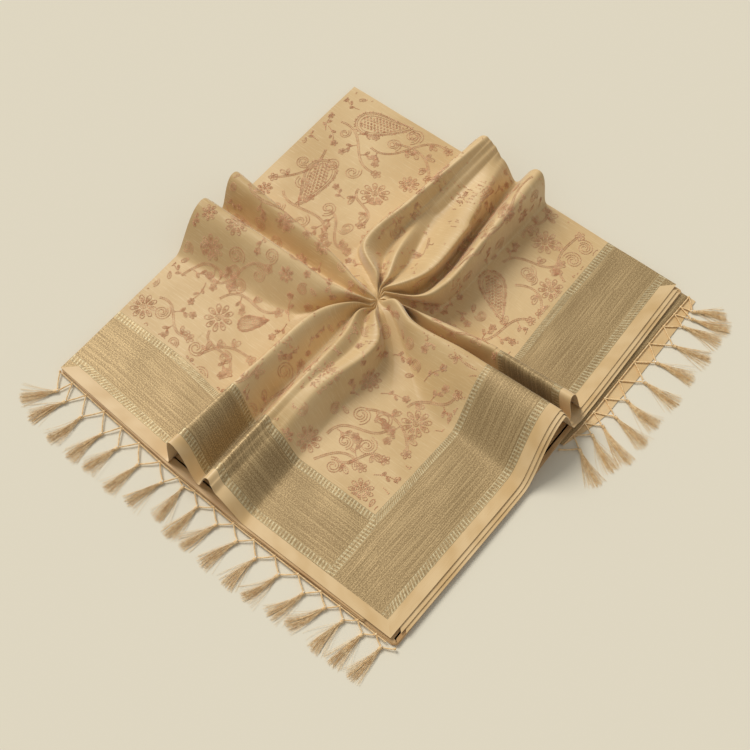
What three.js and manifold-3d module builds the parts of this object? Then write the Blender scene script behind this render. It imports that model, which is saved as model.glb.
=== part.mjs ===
// Silk sari with woven zari bands, folded into a flat packet and gathered to a pinch at its middle.
//
// Millimetres, +Z up. The packet rests on z = 0 with the origin under its middle. +X runs out to
// the long border, and -Y runs out to the pallu, the end that carries the tassels.
// The top sheet is one loft: fold lines run in from the edges to the pinch, and the cloth rounds
// over the crests and through the valleys between them. Each stretch of it is a piece of its own.
import * as THREE from 'three';
import { mergeVertices } from 'three/addons/utils/BufferGeometryUtils.js';
import Module from 'manifold-3d';

const wasm = await Module();
wasm.setup();

// ---------------------------------------------------------------- driving dimensions
const clothWall = 1.2;
const seamGap = 0.3;
const layerPitch = clothWall + seamGap;
const flatHeight = 9;            // outer face of the top sheet where it lies flat
const stripDepth = 14;           // plain strip outside the zari
const bandDepth = 98;            // strip and zari together
const layerTop = flatHeight - clothWall - seamGap;   // top of the hidden layers
const layerHeight = 1.5;         // one hidden fold of the packet

// how far in from the edge the fold lines pass their named places, along the cloth
const places = { edge: 0, band: bandDepth, middle: 170, shoulder: 225, neck: 258, throat: 282 };
// the throat is an oval of small pleats where all fold lines meet
const throat = { x: -15, y: 25, long: 15, short: 7.5, tilt: 113, swirl: 14, crest: 30, valley: 26 };
const throatFloor = 22;          // bottom of the bowl inside the throat
const throatWall = 3;            // cloth bunched in the gather is thicker, measured upright

// Fold lines, anticlockwise from the corner of pallu and long border. Columns: name, side it
// starts on, kind, then x, y, z at the edge, the middle of its run, the shoulder and the neck.
const foldColumns = ['name', 'side', 'kind', 'edge', 'middle', 'shoulder', 'neck'];
const foldRows = [
  ['pallu_border_corner', 'east', 'corner', [246, -283, 9], [92, -95, 9], [40, -15, 13], [6, 12, 26]],
  ['border_ridge_foot', 'east', 'valley', [251, -62, 9], [110, -52, 9], [50, -8, 16], [9, 17, 28]],
  ['border_ridge', 'east', 'crest', [242, 20, 55], [110, 19, 50], [42, 14, 49], [8, 27, 45]],
  ['border_trough', 'east', 'valley', [251, 36, 20], [112, 33, 16], [46, 28, 20], [14, 35, 20]],
  ['border_roll', 'east', 'crest', [243, 44, 56], [129, 43, 49], [54, 33, 43], [27, 30, 43]],
  ['border_roll_foot', 'east', 'valley', [250, 64, 9], [110, 63, 9], [52, 54, 12], [36, 44, 14]],
  ['border_far_corner', 'north', 'corner', [246, 272, 9], [92, 110, 9], [56, 72, 11], [36, 55, 14]],
  ['far_roll_foot', 'north', 'valley', [57, 273, 9], [53, 150, 9], [50, 88, 11], [36, 64, 15]],
  ['far_roll', 'north', 'crest', [38, 274, 60], [44, 152, 58], [43, 75, 52], [26, 46, 46]],
  ['far_trough', 'north', 'valley', [8, 274, 14], [16, 165, 17], [20, 98, 16], [13, 62, 16]],
  ['petal_rim', 'north', 'crest', [-15, 273, 43], [14, 150, 46], [14, 78, 46], [-5, 47, 40]],
  ['petal_hollow', 'north', 'valley', [-22, 274, 49], [-32, 150, 26], [-18, 86, 24], [-16, 58, 29]],
  ['inner_petal', 'north', 'crest', [-29, 275, 55], [-44, 143, 30], [-31, 81, 41], [-20, 50, 38]],
  ['inner_hollow', 'north', 'valley', [-36, 275, 60], [-50, 138, 31], [-48, 82, 22], [-32, 53, 27]],
  ['far_ridge', 'north', 'crest', [-43, 275, 63], [-60, 148, 53], [-67, 65, 44], [-31, 44, 42]],
  ['far_ridge_foot', 'north', 'valley', [-72, 273, 9], [-80, 150, 9], [-84, 72, 10], [-42, 42, 24]],
  ['far_corner', 'west', 'corner', [-250, 272, 9], [-120, 110, 9], [-84, 62, 10], [-44, 37, 24]],
  ['left_roll_foot', 'west', 'valley', [-250, 66, 9], [-110, 46, 9], [-72, 40, 12], [-42, 31, 26]],
  ['left_roll', 'west', 'crest', [-249, 38, 63], [-115, 34, 47], [-68, 27, 42], [-36, 20, 38]],
  ['left_trough', 'west', 'valley', [-251, 12, 16], [-112, 14, 18], [-72, 12, 22], [-35, 15, 26]],
  ['left_ridge', 'west', 'crest', [-249, -18, 68], [-110, -7, 53], [-62, -3, 46], [-31, 6, 42]],
  ['left_ridge_foot', 'west', 'valley', [-251, -72, 9], [-115, -54, 9], [-78, -40, 10], [-38, 2, 24]],
  ['pallu_far_corner', 'south', 'corner', [-250, -268, 9], [-110, -110, 9], [-74, -42, 11], [-34, 0, 25]],
  ['pallu_ridge_foot', 'south', 'valley', [-72, -279, 9], [-66, -130, 9], [-62, -38, 12], [-31, -3, 26]],
  ['pallu_ridge', 'south', 'crest', [-67, -272, 51], [-58, -134, 52], [-49, -36, 46], [-27, -3, 42]],
  ['pallu_trough', 'south', 'valley', [-26, -279, 11], [-28, -120, 16], [-25, -44, 20], [-22, -5, 28]],
  ['pallu_roll', 'south', 'crest', [-12, -275, 39], [-9, -121, 44], [-8, -42, 46], [-16, -7, 41]],
  ['roll_hollow', 'south', 'valley', [-4, -278, 35], [0, -117, 41], [7, -37, 36], [-9, -3, 31]],
  ['roll_lip', 'south', 'crest', [4, -280, 28], [12, -111, 42], [26, -27, 43], [-1, 2, 40]],
  ['pallu_roll_foot', 'south', 'valley', [45, -283, 9], [38, -120, 9], [34, -24, 14], [5, 6, 28]],
];

// the direction in from the edge on each side of the packet
const inward = { east: [-1, 0], north: [0, -1], west: [1, 0], south: [0, 1] };
const cornerInward = {
  pallu_border_corner: [-1, 1],
  border_far_corner: [-1, -1],
  far_corner: [1, -1],
  pallu_far_corner: [1, 1],
};

// how the cloth rounds between fold lines: crests are fuller towards the edge
const rounding = {
  edgeCrest: 1.35, crest: 0.9, valley: 0.75, reach: 0.62, longest: 1.6, panelFoot: 0.35, rise: 0.15,
};

// columns of faces between two fold lines, and rings of faces in from the edge
const flankColumns = 4;
const panelColumns = 3;
const fanColumns = 3;
const stripRings = [0, stripDepth - seamGap / 2];
const bandRings = [stripDepth + seamGap / 2, 42, 70, bandDepth - seamGap / 2];
const fieldFrameRings = [0, 33, 66];
const fieldRings = [bandDepth + seamGap / 2, 122, 146, 170, 188, 207, 225, 236, 247, 258, 270, 282];

// hidden folds below the top sheet, lowest first: how far each stands out past the outline,
// and how far it reaches towards the long border
const packet = { west: -250, far: 272, palluEdge: [[-250, -268], [-72, -281], [45, -285]], palluEnd: -285 };
const foldedSlabs = [
  { standOut: 0, borderEdge: 255 },
  { standOut: 1.5, borderEdge: 254 },
  { standOut: 0.5, borderEdge: 256 },
  { standOut: 1.5, borderEdge: 214 },
  { standOut: 0, borderEdge: 214 },
];
const slabRound = 0.5;
const cornerRound = 5;
// the block of folds under the corner of pallu and long border, beyond the two border folds
const cornerBlock = { west: 200, east: 242, south: -284, north: -272 };

// two more folds of the long border show below the top one: how far each reaches past its edge
const borderFolds = [
  { name: 'second_border_fold', past: 5, start: 0.07, end: 5.96 },
  { name: 'third_border_fold', past: 9, start: 0.1, end: 5.94 },
];
const borderFoldDepth = 30;
const lowFoldStart = 3;          // the lower folds leave the top sheet in the border trough
const lowFoldEnd = 5;            // and lie flat under the roll as far as its foot

// the sari's inner end lies under the long border: the edge lines of its two layers, y then x
const innerEndStart = 256.3;
const innerZariEdge = [[14, 258], [45, 261], [80, 262], [150, 262], [220, 263], [270, 265]];
const innerPlainEdge = [[15, 260], [45, 270], [80, 277], [150, 279], [220, 279], [271, 276]];
const innerPlainBase = 0;
const innerZariBase = innerPlainBase + layerPitch;

// fringe
const stripSize = 2;
const cordRadius = 0.8;
const headRadius = 2;
const headLength = 7;
const headHeight = 2.4;          // middle of a tassel's head above the floor
const locksPerTassel = 4;
const lockRoot = { width: 1.6, height: 1.6 };
const lockTip = { width: 3.2, height: 1, lift: 1.1 };
const tasselSpread = 17;         // from the first lock's tip to the last one's
// head x, head y, tip x, tip y
const palluTassels = [
  [-237, -293, -264, -325], [-219, -297, -236, -338], [-190, -300, -199, -344], [-157, -301, -165, -346],
  [-131, -302, -142, -344], [-98, -303, -104, -348], [-63, -302, -78, -344], [-40, -292, -36, -338],
  [-12, -300, -16, -346], [18, -302, 4, -345], [48, -303, 36, -347], [77, -305, 72, -349],
  [108, -304, 96, -347], [142, -303, 128, -345], [170, -301, 150, -341], [194, -300, 190, -345],
  [219, -299, 214, -344], [243, -298, 238, -343],
];
const innerTassels = [
  [283, 257, 318, 276], [288, 247, 331, 262], [285, 231, 331, 240], [290, 202, 334, 212],
  [287, 170, 333, 176], [290, 139, 336, 138], [287, 106, 333, 100], [288, 80, 335, 70],
  [283, 61, 332, 40], [280, 44, 324, 22], [279, 20, 320, -4],
];

const silk = { color: 0xe0c48f, roughness: 0.55, metalness: 0 };
const zari = { color: 0xa8976a, roughness: 0.42, metalness: 0.35 };
const plain = { color: 0xdcb987, roughness: 0.5, metalness: 0 };
const thread = { color: 0xb89a66, roughness: 0.6, metalness: 0 };

// ---------------------------------------------------------------- fold lines
const folds = foldRows.map((row) => {
  const fold = Object.fromEntries(foldColumns.map((column, index) => [column, row[index]]));
  fold.points = {};
  for (const place of ['edge', 'middle', 'shoulder', 'neck']) {
    fold.points[place] = new THREE.Vector3(...fold[place]);
  }
  fold.points.band = bandPoint(fold);
  return fold;
});

/** The place on a fold line where the zari ends, straight in from the edge. */
function bandPoint(fold) {
  const { edge, middle } = fold.points;
  if (fold.kind === 'corner') {
    const [x, y] = cornerInward[fold.name];
    return new THREE.Vector3(edge.x + x * bandDepth, edge.y + y * bandDepth, edge.z);
  }
  const [x, y] = inward[fold.side];
  const run = (middle.x - edge.x) * x + (middle.y - edge.y) * y;
  return edge.clone().lerp(middle, bandDepth / run);
}

/** Spaces the fold lines round the throat's oval, turned a little by the swirl of the gather. */
function addThroatPoints() {
  const centre = new THREE.Vector2(throat.x, throat.y);
  const turnStep = (2 * Math.PI) / folds.length;
  const neckAngles = [];
  for (const fold of folds) {
    const { neck } = fold.points;
    let angle = Math.atan2(neck.y - centre.y, neck.x - centre.x);
    const last = neckAngles.at(-1) ?? angle;
    while (angle < last - Math.PI) angle += 2 * Math.PI;
    neckAngles.push(angle);
  }
  const offsets = neckAngles.map((angle, index) => angle - index * turnStep);
  const meanOffset = offsets.reduce((sum, offset) => sum + offset, 0) / folds.length;
  const tilt = THREE.MathUtils.degToRad(throat.tilt);
  folds.forEach((fold, index) => {
    const even = index * turnStep + meanOffset;
    const angle = THREE.MathUtils.lerp(even, neckAngles[index], 0.45) + THREE.MathUtils.degToRad(throat.swirl);
    const onOval = new THREE.Vector2(
      throat.long * Math.cos(angle - tilt),
      throat.short * Math.sin(angle - tilt),
    ).rotateAround(new THREE.Vector2(), tilt).add(centre);
    const height = fold.kind === 'crest' ? throat.crest : throat.valley;
    fold.points.throat = new THREE.Vector3(onOval.x, onOval.y, height);
  });
}
addThroatPoints();

/** A copy of the fold lines in which one corner's line runs square to the edge, for a straight seam. */
function withSeamAt(source, name, edge, band) {
  const moved = { edge: new THREE.Vector3(...edge), band: new THREE.Vector3(...band) };
  return source.map((fold) => (fold.name === name
    ? { ...fold, isSeam: true, points: { ...fold.points, ...moved } }
    : fold));
}

/** A point on one fold line, at a depth in from the edge: a smooth curve through its places. */
function foldPoint(fold, depth) {
  const { edge, band } = fold.points;
  if (fold.isSeam && depth < places.band) return edge.clone().lerp(band, depth / places.band);
  const names = Object.keys(places);
  const last = names.length - 1;
  let index = 0;
  while (index < last - 1 && depth >= places[names[index + 1]]) index += 1;
  const slopeAt = (at) => {
    const slope = (from) => fold.points[names[from + 1]].clone().sub(fold.points[names[from]])
      .divideScalar(places[names[from + 1]] - places[names[from]]);
    if (at === 0) return slope(0);
    if (at === last) return slope(last - 1);
    const ahead = places[names[at + 1]] - places[names[at]];
    const both = places[names[at + 1]] - places[names[at - 1]];
    return slope(at - 1).multiplyScalar(ahead / both).add(slope(at).multiplyScalar(1 - ahead / both));
  };
  const from = places[names[index]];
  const length = places[names[index + 1]] - from;
  return hermite(
    fold.points[names[index]], slopeAt(index).multiplyScalar(length),
    fold.points[names[index + 1]], slopeAt(index + 1).multiplyScalar(length),
    (depth - from) / length,
  );
}

/** A cubic curve from one point and direction to another. */
function hermite(start, leaving, end, arriving, t) {
  return new THREE.Vector3()
    .addScaledVector(start, 2 * t ** 3 - 3 * t ** 2 + 1)
    .addScaledVector(leaving, t ** 3 - 2 * t ** 2 + t)
    .addScaledVector(end, 3 * t ** 2 - 2 * t ** 3)
    .addScaledVector(arriving, t ** 3 - t ** 2);
}

/** The top sheet's outer face: turn counts fold lines anticlockwise, depth runs in from the edge. */
function sheetPoint(lines, turn, depth) {
  const first = Math.floor(turn);
  const line = (step) => lines[(first + step + lines.length) % lines.length];
  const [before, start, end, after] = [-1, 0, 1, 2].map((step) => foldPoint(line(step), depth));
  const straight = end.clone().sub(start);
  const chord = straight.length();
  const spread = Math.hypot(straight.x, straight.y);
  const tangent = (kind, from, to) => {
    const along = kind === 'corner' ? straight.clone() : to.clone().sub(from);
    if (kind !== 'corner') along.z *= rounding.rise;
    return along.normalize();
  };
  const isPanel = line(0).kind === 'corner' || line(1).kind === 'corner';
  const gathering = THREE.MathUtils.smoothstep(depth, places.edge, places.middle);
  const fullness = {
    crest: THREE.MathUtils.lerp(rounding.edgeCrest, rounding.crest, gathering),
    valley: rounding.valley,
  };
  const pull = (kind) => {
    if (isPanel) return chord * (kind === 'corner' ? 1 : rounding.panelFoot);
    return Math.min(fullness[kind] * Math.max(chord * rounding.reach, spread), rounding.longest * chord);
  };
  const point = hermite(
    start, tangent(line(0).kind, before, end).multiplyScalar(pull(line(0).kind)),
    end, tangent(line(1).kind, start, after).multiplyScalar(pull(line(1).kind)),
    turn - first,
  );
  point.z = Math.max(point.z, flatHeight);   // the cloth lies on the packet and never below it
  return point;
}

/** The outward direction of a surface given as a function of turn and depth. */
function outwardAt(surface, turn, depth) {
  const turnStep = 0.08;
  const depthStep = 2;
  const across = surface(turn + turnStep, depth).sub(surface(turn - turnStep, depth));
  const inwards = surface(turn, depth + depthStep).sub(surface(turn, depth - depthStep));
  return across.cross(inwards).normalize();
}

/** The inner face under a point of the top sheet: square to the cloth, and upright in the gather. */
function innerPoint(surface, turn, depth) {
  const gathered = THREE.MathUtils.smoothstep(depth, places.neck - 8, places.throat - 6);
  const square = outwardAt(surface, turn, depth).multiplyScalar(-clothWall);
  const upright = new THREE.Vector3(0, 0, -throatWall);
  return surface(turn, depth).add(square.lerp(upright, gathered));
}

// ---------------------------------------------------------------- cloth walls
/** Collects a cloth wall as pairs of outer and inner points, and closes its rim. */
class ClothWall {
  constructor() {
    this.outer = [];
    this.inner = [];
    this.faces = [];
    this.known = new Map();
  }

  addPoint(outer, inner) {
    const key = outer.toArray().map((value) => value.toFixed(3)).join();
    if (!this.known.has(key)) {
      this.known.set(key, this.outer.length);
      this.outer.push(outer);
      this.inner.push(inner);
    }
    return this.known.get(key);
  }

  addFace(a, b, c) {
    if (a !== b && b !== c && c !== a) this.faces.push([a, b, c]);
  }

  /** Adds a grid of faces: columns run anticlockwise round the packet, rows run in from the edge. */
  addGrid(columns) {
    const indexed = columns.map((column) => column.map(([outer, inner]) => this.addPoint(outer, inner)));
    for (let column = 0; column + 1 < indexed.length; column += 1) {
      for (let row = 0; row + 1 < indexed[column].length; row += 1) {
        const [a, b] = [indexed[column][row], indexed[column + 1][row]];
        const [c, d] = [indexed[column + 1][row + 1], indexed[column][row + 1]];
        this.addFace(a, b, c);
        this.addFace(a, c, d);
      }
    }
  }

  geometry() {
    const count = this.outer.length;
    const edges = new Map();
    const triangles = [];
    for (const [a, b, c] of this.faces) {
      triangles.push(a, b, c, count + a, count + c, count + b);
      for (const [from, to] of [[a, b], [b, c], [c, a]]) edges.set(`${from},${to}`, [from, to]);
    }
    for (const [from, to] of edges.values()) {
      if (edges.has(`${to},${from}`)) continue;
      triangles.push(to, from, count + from, to, count + from, count + to);
    }
    const geometry = new THREE.BufferGeometry();
    const positions = [...this.outer, ...this.inner].flatMap((point) => point.toArray());
    geometry.setAttribute('position', new THREE.Float32BufferAttribute(positions, 3));
    geometry.setIndex(triangles);
    return geometry;
  }
}

/** Turn values from one fold line to another, with enough columns for the shape between them. */
function turnsBetween(start, end) {
  const turns = [];
  for (let line = Math.floor(start); line < end; line += 1) {
    const kinds = [folds[line % folds.length].kind, folds[(line + 1) % folds.length].kind];
    const columns = kinds.includes('corner') ? panelColumns : flankColumns;
    for (let column = 0; column < columns; column += 1) turns.push(line + column / columns);
  }
  turns.push(end);
  return [start, ...turns.filter((turn) => turn > start + 0.001 && turn <= end)];
}

/** A grid of the top sheet between two turns, at the given depths. */
function sheetGrid(lines, turns, depths) {
  const surface = (turn, depth) => sheetPoint(lines, turn, depth);
  return turns.map((turn) => depths.map((depth) => [surface(turn, depth), innerPoint(surface, turn, depth)]));
}

/** The flat corner of a band between the mitre line and a straight seam, closing to a point. */
function cornerGrid(mitre, seam, depths) {
  const drop = new THREE.Vector3(0, 0, -clothWall);
  const columns = [];
  for (let column = 0; column <= fanColumns; column += 1) {
    columns.push(depths.map((depth) => {
      const outer = foldPoint(mitre, depth).lerp(foldPoint(seam, depth), column / fanColumns);
      return [outer, outer.clone().add(drop)];
    }));
  }
  return columns;
}

const turnOf = (name) => folds.findIndex((fold) => fold.name === name);
const palluBorderTurn = turnOf('pallu_border_corner');
const borderFarTurn = turnOf('border_far_corner');
const palluFarTurn = turnOf('pallu_far_corner');
const fullTurn = folds.length;
const mitreClearance = 0.006;

const [palluBorderFold, borderFarFold, palluFarFold] = [palluBorderTurn, borderFarTurn, palluFarTurn]
  .map((turn) => folds[turn]);

/** A corner's line turned square to one edge, so the band beside it ends in a straight seam. */
function seamLine(fold, direction, shift) {
  const { edge, band } = fold.points;
  const edgePoint = direction === 'x' ? [band.x, edge.y, edge.z] : [edge.x, band.y, edge.z];
  const bandPlace = band.toArray();
  const axis = direction === 'x' ? 0 : 1;
  edgePoint[axis] += shift;
  bandPlace[axis] += shift;
  return withSeamAt(folds, fold.name, edgePoint, bandPlace);
}

const lineAt = (lines, fold) => lines.find((line) => line.name === fold.name);

function longBorderBand() {
  const wall = new ClothWall();
  wall.addGrid(sheetGrid(folds, turnsBetween(palluBorderTurn, borderFarTurn), bandRings));
  const palluSeam = lineAt(seamLine(palluBorderFold, 'x', 0), palluBorderFold);
  wall.addGrid(cornerGrid(palluSeam, palluBorderFold, bandRings));
  const farSeam = lineAt(seamLine(borderFarFold, 'x', 0), borderFarFold);
  wall.addGrid(cornerGrid(borderFarFold, farSeam, [0, ...bandRings]));
  return wall.geometry();
}

function borderEdgeStrip() {
  const wall = new ClothWall();
  const turns = turnsBetween(palluBorderTurn + mitreClearance, borderFarTurn - mitreClearance);
  wall.addGrid(sheetGrid(folds, turns, stripRings));
  return wall.geometry();
}

function palluBand() {
  const wall = new ClothWall();
  const lines = seamLine(palluBorderFold, 'x', -seamGap);
  wall.addGrid(sheetGrid(lines, turnsBetween(palluFarTurn, fullTurn), bandRings));
  const foldSeam = lineAt(seamLine(palluFarFold, 'y', 0), palluFarFold);
  wall.addGrid(cornerGrid(foldSeam, palluFarFold, [0, ...bandRings]));
  return wall.geometry();
}

function palluEndStrip() {
  const wall = new ClothWall();
  const lines = seamLine(palluBorderFold, 'x', 0);
  wall.addGrid(sheetGrid(lines, turnsBetween(palluFarTurn + mitreClearance, fullTurn), stripRings));
  wall.addGrid(cornerGrid(lineAt(lines, palluBorderFold), palluBorderFold, stripRings));
  return wall.geometry();
}

function silkField() {
  const wall = new ClothWall();
  wall.addGrid(sheetGrid(folds, turnsBetween(0, fullTurn), fieldRings));
  let frameLines = seamLine(borderFarFold, 'x', -seamGap);
  const palluSide = lineAt(seamLine(palluFarFold, 'y', seamGap), palluFarFold).points;
  frameLines = withSeamAt(frameLines, palluFarFold.name, palluSide.edge.toArray(), palluSide.band.toArray());
  for (const turn of turnsBetween(borderFarTurn, palluFarTurn).slice(0, -1)) {
    const next = turnsBetween(borderFarTurn, palluFarTurn).find((value) => value > turn + 0.001);
    const frame = sheetGrid(frameLines, [turn, next], fieldFrameRings);
    const rim = sheetGrid(folds, [turn, next], [fieldRings[0]]);
    wall.addGrid(frame.map((column, index) => [...column, ...rim[index]]));
  }
  addThroatBowl(wall);
  return wall.geometry();
}

/** Closes the gather with a shallow bowl inside the ring of pleats. */
function addThroatBowl(wall) {
  const centre = new THREE.Vector3(throat.x, throat.y, throatFloor);
  const upright = new THREE.Vector3(0, 0, -throatWall);
  const columns = turnsBetween(0, fullTurn).map((turn) => {
    const rim = sheetPoint(folds, turn, places.throat);
    const halfway = rim.clone().lerp(centre, 0.5);
    return [rim, halfway, centre].map((outer) => [outer.clone(), outer.clone().add(upright)]);
  });
  wall.addGrid(columns);
}

/** The path of the border folds under the top one: with it over the ridge, then flat under the roll. */
function lowFoldPoint(turn, depth) {
  if (turn <= lowFoldStart || turn >= lowFoldEnd) return sheetPoint(folds, turn, depth);
  const start = sheetPoint(folds, lowFoldStart, depth);
  const end = sheetPoint(folds, lowFoldEnd, depth);
  const along = (turn - lowFoldStart) / (lowFoldEnd - lowFoldStart);
  const point = start.clone().lerp(end, along);
  point.z = THREE.MathUtils.lerp(start.z, end.z, THREE.MathUtils.smoothstep(along, 0, 0.7));
  return point;
}

function lowerBorderFold({ past, start, end }, level) {
  const wall = new ClothWall();
  const depths = [-past, 0, stripDepth, borderFoldDepth];
  const moved = (turn, depth, distance) => {
    const out = outwardAt(lowFoldPoint, turn, depth);
    return lowFoldPoint(turn, depth).addScaledVector(out, -distance);
  };
  wall.addGrid(turnsBetween(start, end).map((turn) => depths.map((depth) => [
    moved(turn, depth, level * layerPitch),
    moved(turn, depth, level * layerPitch + clothWall),
  ])));
  return wall.geometry();
}

// ---------------------------------------------------------------- hidden layers and inner end
function toManifold(geometry) {
  geometry.deleteAttribute('normal');
  geometry.deleteAttribute('uv');
  const merged = mergeVertices(geometry, 1e-4);
  return new wasm.Manifold(new wasm.Mesh({
    numProp: 3,
    vertProperties: new Float32Array(merged.attributes.position.array),
    triVerts: new Uint32Array(merged.index.array),
  }));
}

function fromManifold(solid) {
  const mesh = solid.getMesh();
  const geometry = new THREE.BufferGeometry();
  geometry.setAttribute('position', new THREE.BufferAttribute(mesh.vertProperties, 3));
  geometry.setIndex(new THREE.BufferAttribute(mesh.triVerts, 1));
  return geometry;
}

const joinAll = (solids) => fromManifold(solids.reduce((joined, solid) => joined.add(solid)));

/** An outline with its corners rounded off. */
function roundedOutline(corners, radius) {
  const shape = new THREE.Shape();
  corners.forEach((corner, index) => {
    const point = new THREE.Vector2(...corner);
    const before = new THREE.Vector2(...corners.at(index - 1)).sub(point);
    const after = new THREE.Vector2(...corners[(index + 1) % corners.length]).sub(point);
    const enter = point.clone().add(before.setLength(radius));
    const leave = point.clone().add(after.setLength(radius));
    if (index === 0) shape.moveTo(enter.x, enter.y);
    else shape.lineTo(enter.x, enter.y);
    shape.quadraticCurveTo(point.x, point.y, leave.x, leave.y);
  });
  return shape;
}

/** One flat fold with rounded edges, from its base height upwards. */
function roundedSlab(corners, base, height) {
  const geometry = new THREE.ExtrudeGeometry(roundedOutline(corners, cornerRound), {
    depth: height - 2 * slabRound,
    bevelThickness: slabRound,
    bevelSize: slabRound,
    bevelOffset: -slabRound,
    bevelSegments: 1,
    curveSegments: 2,
  });
  return toManifold(geometry.translate(0, 0, base + slabRound));
}

function foldedStack() {
  const sink = 0.1;              // neighbouring folds sink into each other, so they fuse
  const slabs = foldedSlabs.map(({ standOut, borderEdge }, index) => {
    const palluSide = [...packet.palluEdge, [borderEdge, packet.palluEnd]];
    const corners = [
      ...palluSide.map(([x, y]) => [x === packet.west ? x - standOut : x, y - standOut]),
      [borderEdge, packet.far + standOut],
      [packet.west - standOut, packet.far + standOut],
    ];
    const base = index * layerHeight;
    return roundedSlab(corners, Math.max(base - sink, 0), layerHeight + (index ? sink : 0));
  });
  const { west, east, south, north } = cornerBlock;
  const block = [[west, south], [east, south], [east, north], [west, north]];
  const blockBase = 3 * layerHeight - sink;
  slabs.push(roundedSlab(block, blockBase, layerTop - blockBase));
  return joinAll(slabs);
}

/** A flat layer of the inner end: from the packet out to an edge line. */
function innerEndLayer(edgeLine, base) {
  const wall = new ClothWall();
  const up = base + clothWall;
  wall.addGrid(edgeLine.map(([y, x]) => [x, (x + innerEndStart) / 2, innerEndStart].map((place) => [
    new THREE.Vector3(place, y, up),
    new THREE.Vector3(place, y, base),
  ])));
  return wall.geometry();
}

// ---------------------------------------------------------------- fringe
/** A tapered bar through a few sections, each with a centre, width, height and heading. */
function taperedBar(sections, sides) {
  const points = [];
  for (const { centre, width, height, heading } of sections) {
    const across = new THREE.Vector3(-heading.y, heading.x, 0).normalize();
    for (let side = 0; side < sides; side += 1) {
      const angle = (2 * Math.PI * (side + 0.5)) / sides;
      const point = centre.clone().addScaledVector(across, Math.cos(angle) * width);
      point.z += Math.sin(angle) * height;
      points.push(...point.toArray());
    }
  }
  const triangles = [];
  for (let ring = 0; ring + 1 < sections.length; ring += 1) {
    for (let side = 0; side < sides; side += 1) {
      const a = ring * sides + side;
      const b = ring * sides + ((side + 1) % sides);
      triangles.push(a, b, a + sides, b, b + sides, a + sides);
    }
  }
  const lastRing = (sections.length - 1) * sides;
  for (let side = 1; side + 1 < sides; side += 1) {
    triangles.push(0, side + 1, side);
    triangles.push(lastRing, lastRing + side, lastRing + side + 1);
  }
  const geometry = new THREE.BufferGeometry();
  geometry.setAttribute('position', new THREE.Float32BufferAttribute(points, 3));
  geometry.setIndex(triangles);
  return toManifold(geometry);
}

/** One cord of the net, straight between two points. */
function netCord(start, end) {
  const heading = end.clone().sub(start);
  const size = { width: cordRadius, height: cordRadius, heading };
  return taperedBar([start, end].map((centre) => ({ centre, ...size })), 3);
}

/** One tassel: its head and the locks that fan out of it along the floor. */
function tassel([headX, headY, tipX, tipY]) {
  const head = new THREE.Vector3(headX, headY, headHeight);
  const reach = new THREE.Vector3(tipX - headX, tipY - headY, 0);
  const heading = reach.clone().normalize();
  const aside = new THREE.Vector3(-heading.y, heading.x, 0);
  const headSection = (distance, radius) => ({
    centre: head.clone().addScaledVector(heading, distance), width: radius, height: radius, heading,
  });
  const pieces = [taperedBar([
    headSection(-headLength / 2, headRadius),
    headSection(headLength / 2, headRadius * 0.75),
  ], 5)];
  for (let lock = 0; lock < locksPerTassel; lock += 1) {
    const offset = lock / (locksPerTassel - 1) - 0.5;
    const root = head.clone().addScaledVector(heading, headLength * 0.2).addScaledVector(aside, offset);
    const tip = head.clone().add(reach).addScaledVector(aside, offset * tasselSpread)
      .addScaledVector(heading, -Math.abs(offset) * 5).setZ(lockTip.lift);
    const middle = root.clone().lerp(tip, 0.45).addScaledVector(aside, -offset * 2).setZ(headHeight * 0.8);
    pieces.push(taperedBar([
      { centre: root, width: lockRoot.width * 0.5, height: lockRoot.height * 0.5, heading },
      { centre: middle, width: lockRoot.width * 0.7, height: lockTip.height * 0.75, heading },
      { centre: tip, width: lockTip.width * 0.5, height: lockTip.height * 0.5, heading },
    ], 3));
  }
  return pieces;
}

/** The point of an edge line nearest along one axis. */
function onLine(line, value, axis) {
  let index = 0;
  while (index < line.length - 2 && line[index + 1][axis] < value) index += 1;
  const [from, to] = [line[index], line[index + 1]];
  const t = (value - from[axis]) / (to[axis] - from[axis]);
  return from.map((start, column) => THREE.MathUtils.lerp(start, to[column], t));
}

/** A narrow strip along an edge line, of which the net's cords are part. */
function edgeStrip(line, height) {
  const centres = line.map(([x, y]) => new THREE.Vector3(x, y, height));
  const half = stripSize / Math.SQRT2;
  return taperedBar(centres.map((centre, index) => {
    const from = centres[Math.max(index - 1, 0)];
    const to = centres[Math.min(index + 1, centres.length - 1)];
    return { centre, width: half, height: half, heading: to.clone().sub(from) };
  }), 4);
}

/** Net cords from the strip to every tassel's head, meeting halfway between neighbours. */
function fringe(line, axis, height, tassels) {
  const pieces = [edgeStrip(line, height)];
  const [low, high] = [line[0][axis] + 1, line.at(-1)[axis] - 1];
  const heads = [...tassels].sort((one, other) => one[axis] - other[axis]);
  heads.forEach((row, index) => {
    const place = row[axis];
    const neighbours = [heads[index - 1]?.[axis] ?? place - 26, heads[index + 1]?.[axis] ?? place + 26];
    for (const neighbour of neighbours) {
      const knot = onLine(line, THREE.MathUtils.clamp((place + neighbour) / 2, low, high), axis);
      const headPoint = new THREE.Vector3(row[0], row[1], headHeight);
      pieces.push(netCord(new THREE.Vector3(...knot, height), headPoint));
    }
    pieces.push(...tassel(row));
  });
  return joinAll(pieces);
}

const palluStripHeight = 3.7;
const palluStripEast = 244;
const palluStripLine = [...packet.palluEdge, [palluStripEast, packet.palluEnd]]
  .map(([x, y]) => [x, y - stripSize - seamGap - 0.5]);
const innerStripLine = innerZariEdge.map(([y, x]) => [x + stripSize / 2 + seamGap + 0.3, y]);
const innerStripHeight = innerZariBase + stripSize / 2;

// ---------------------------------------------------------------- the sari
const sari = new THREE.Group();

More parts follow.
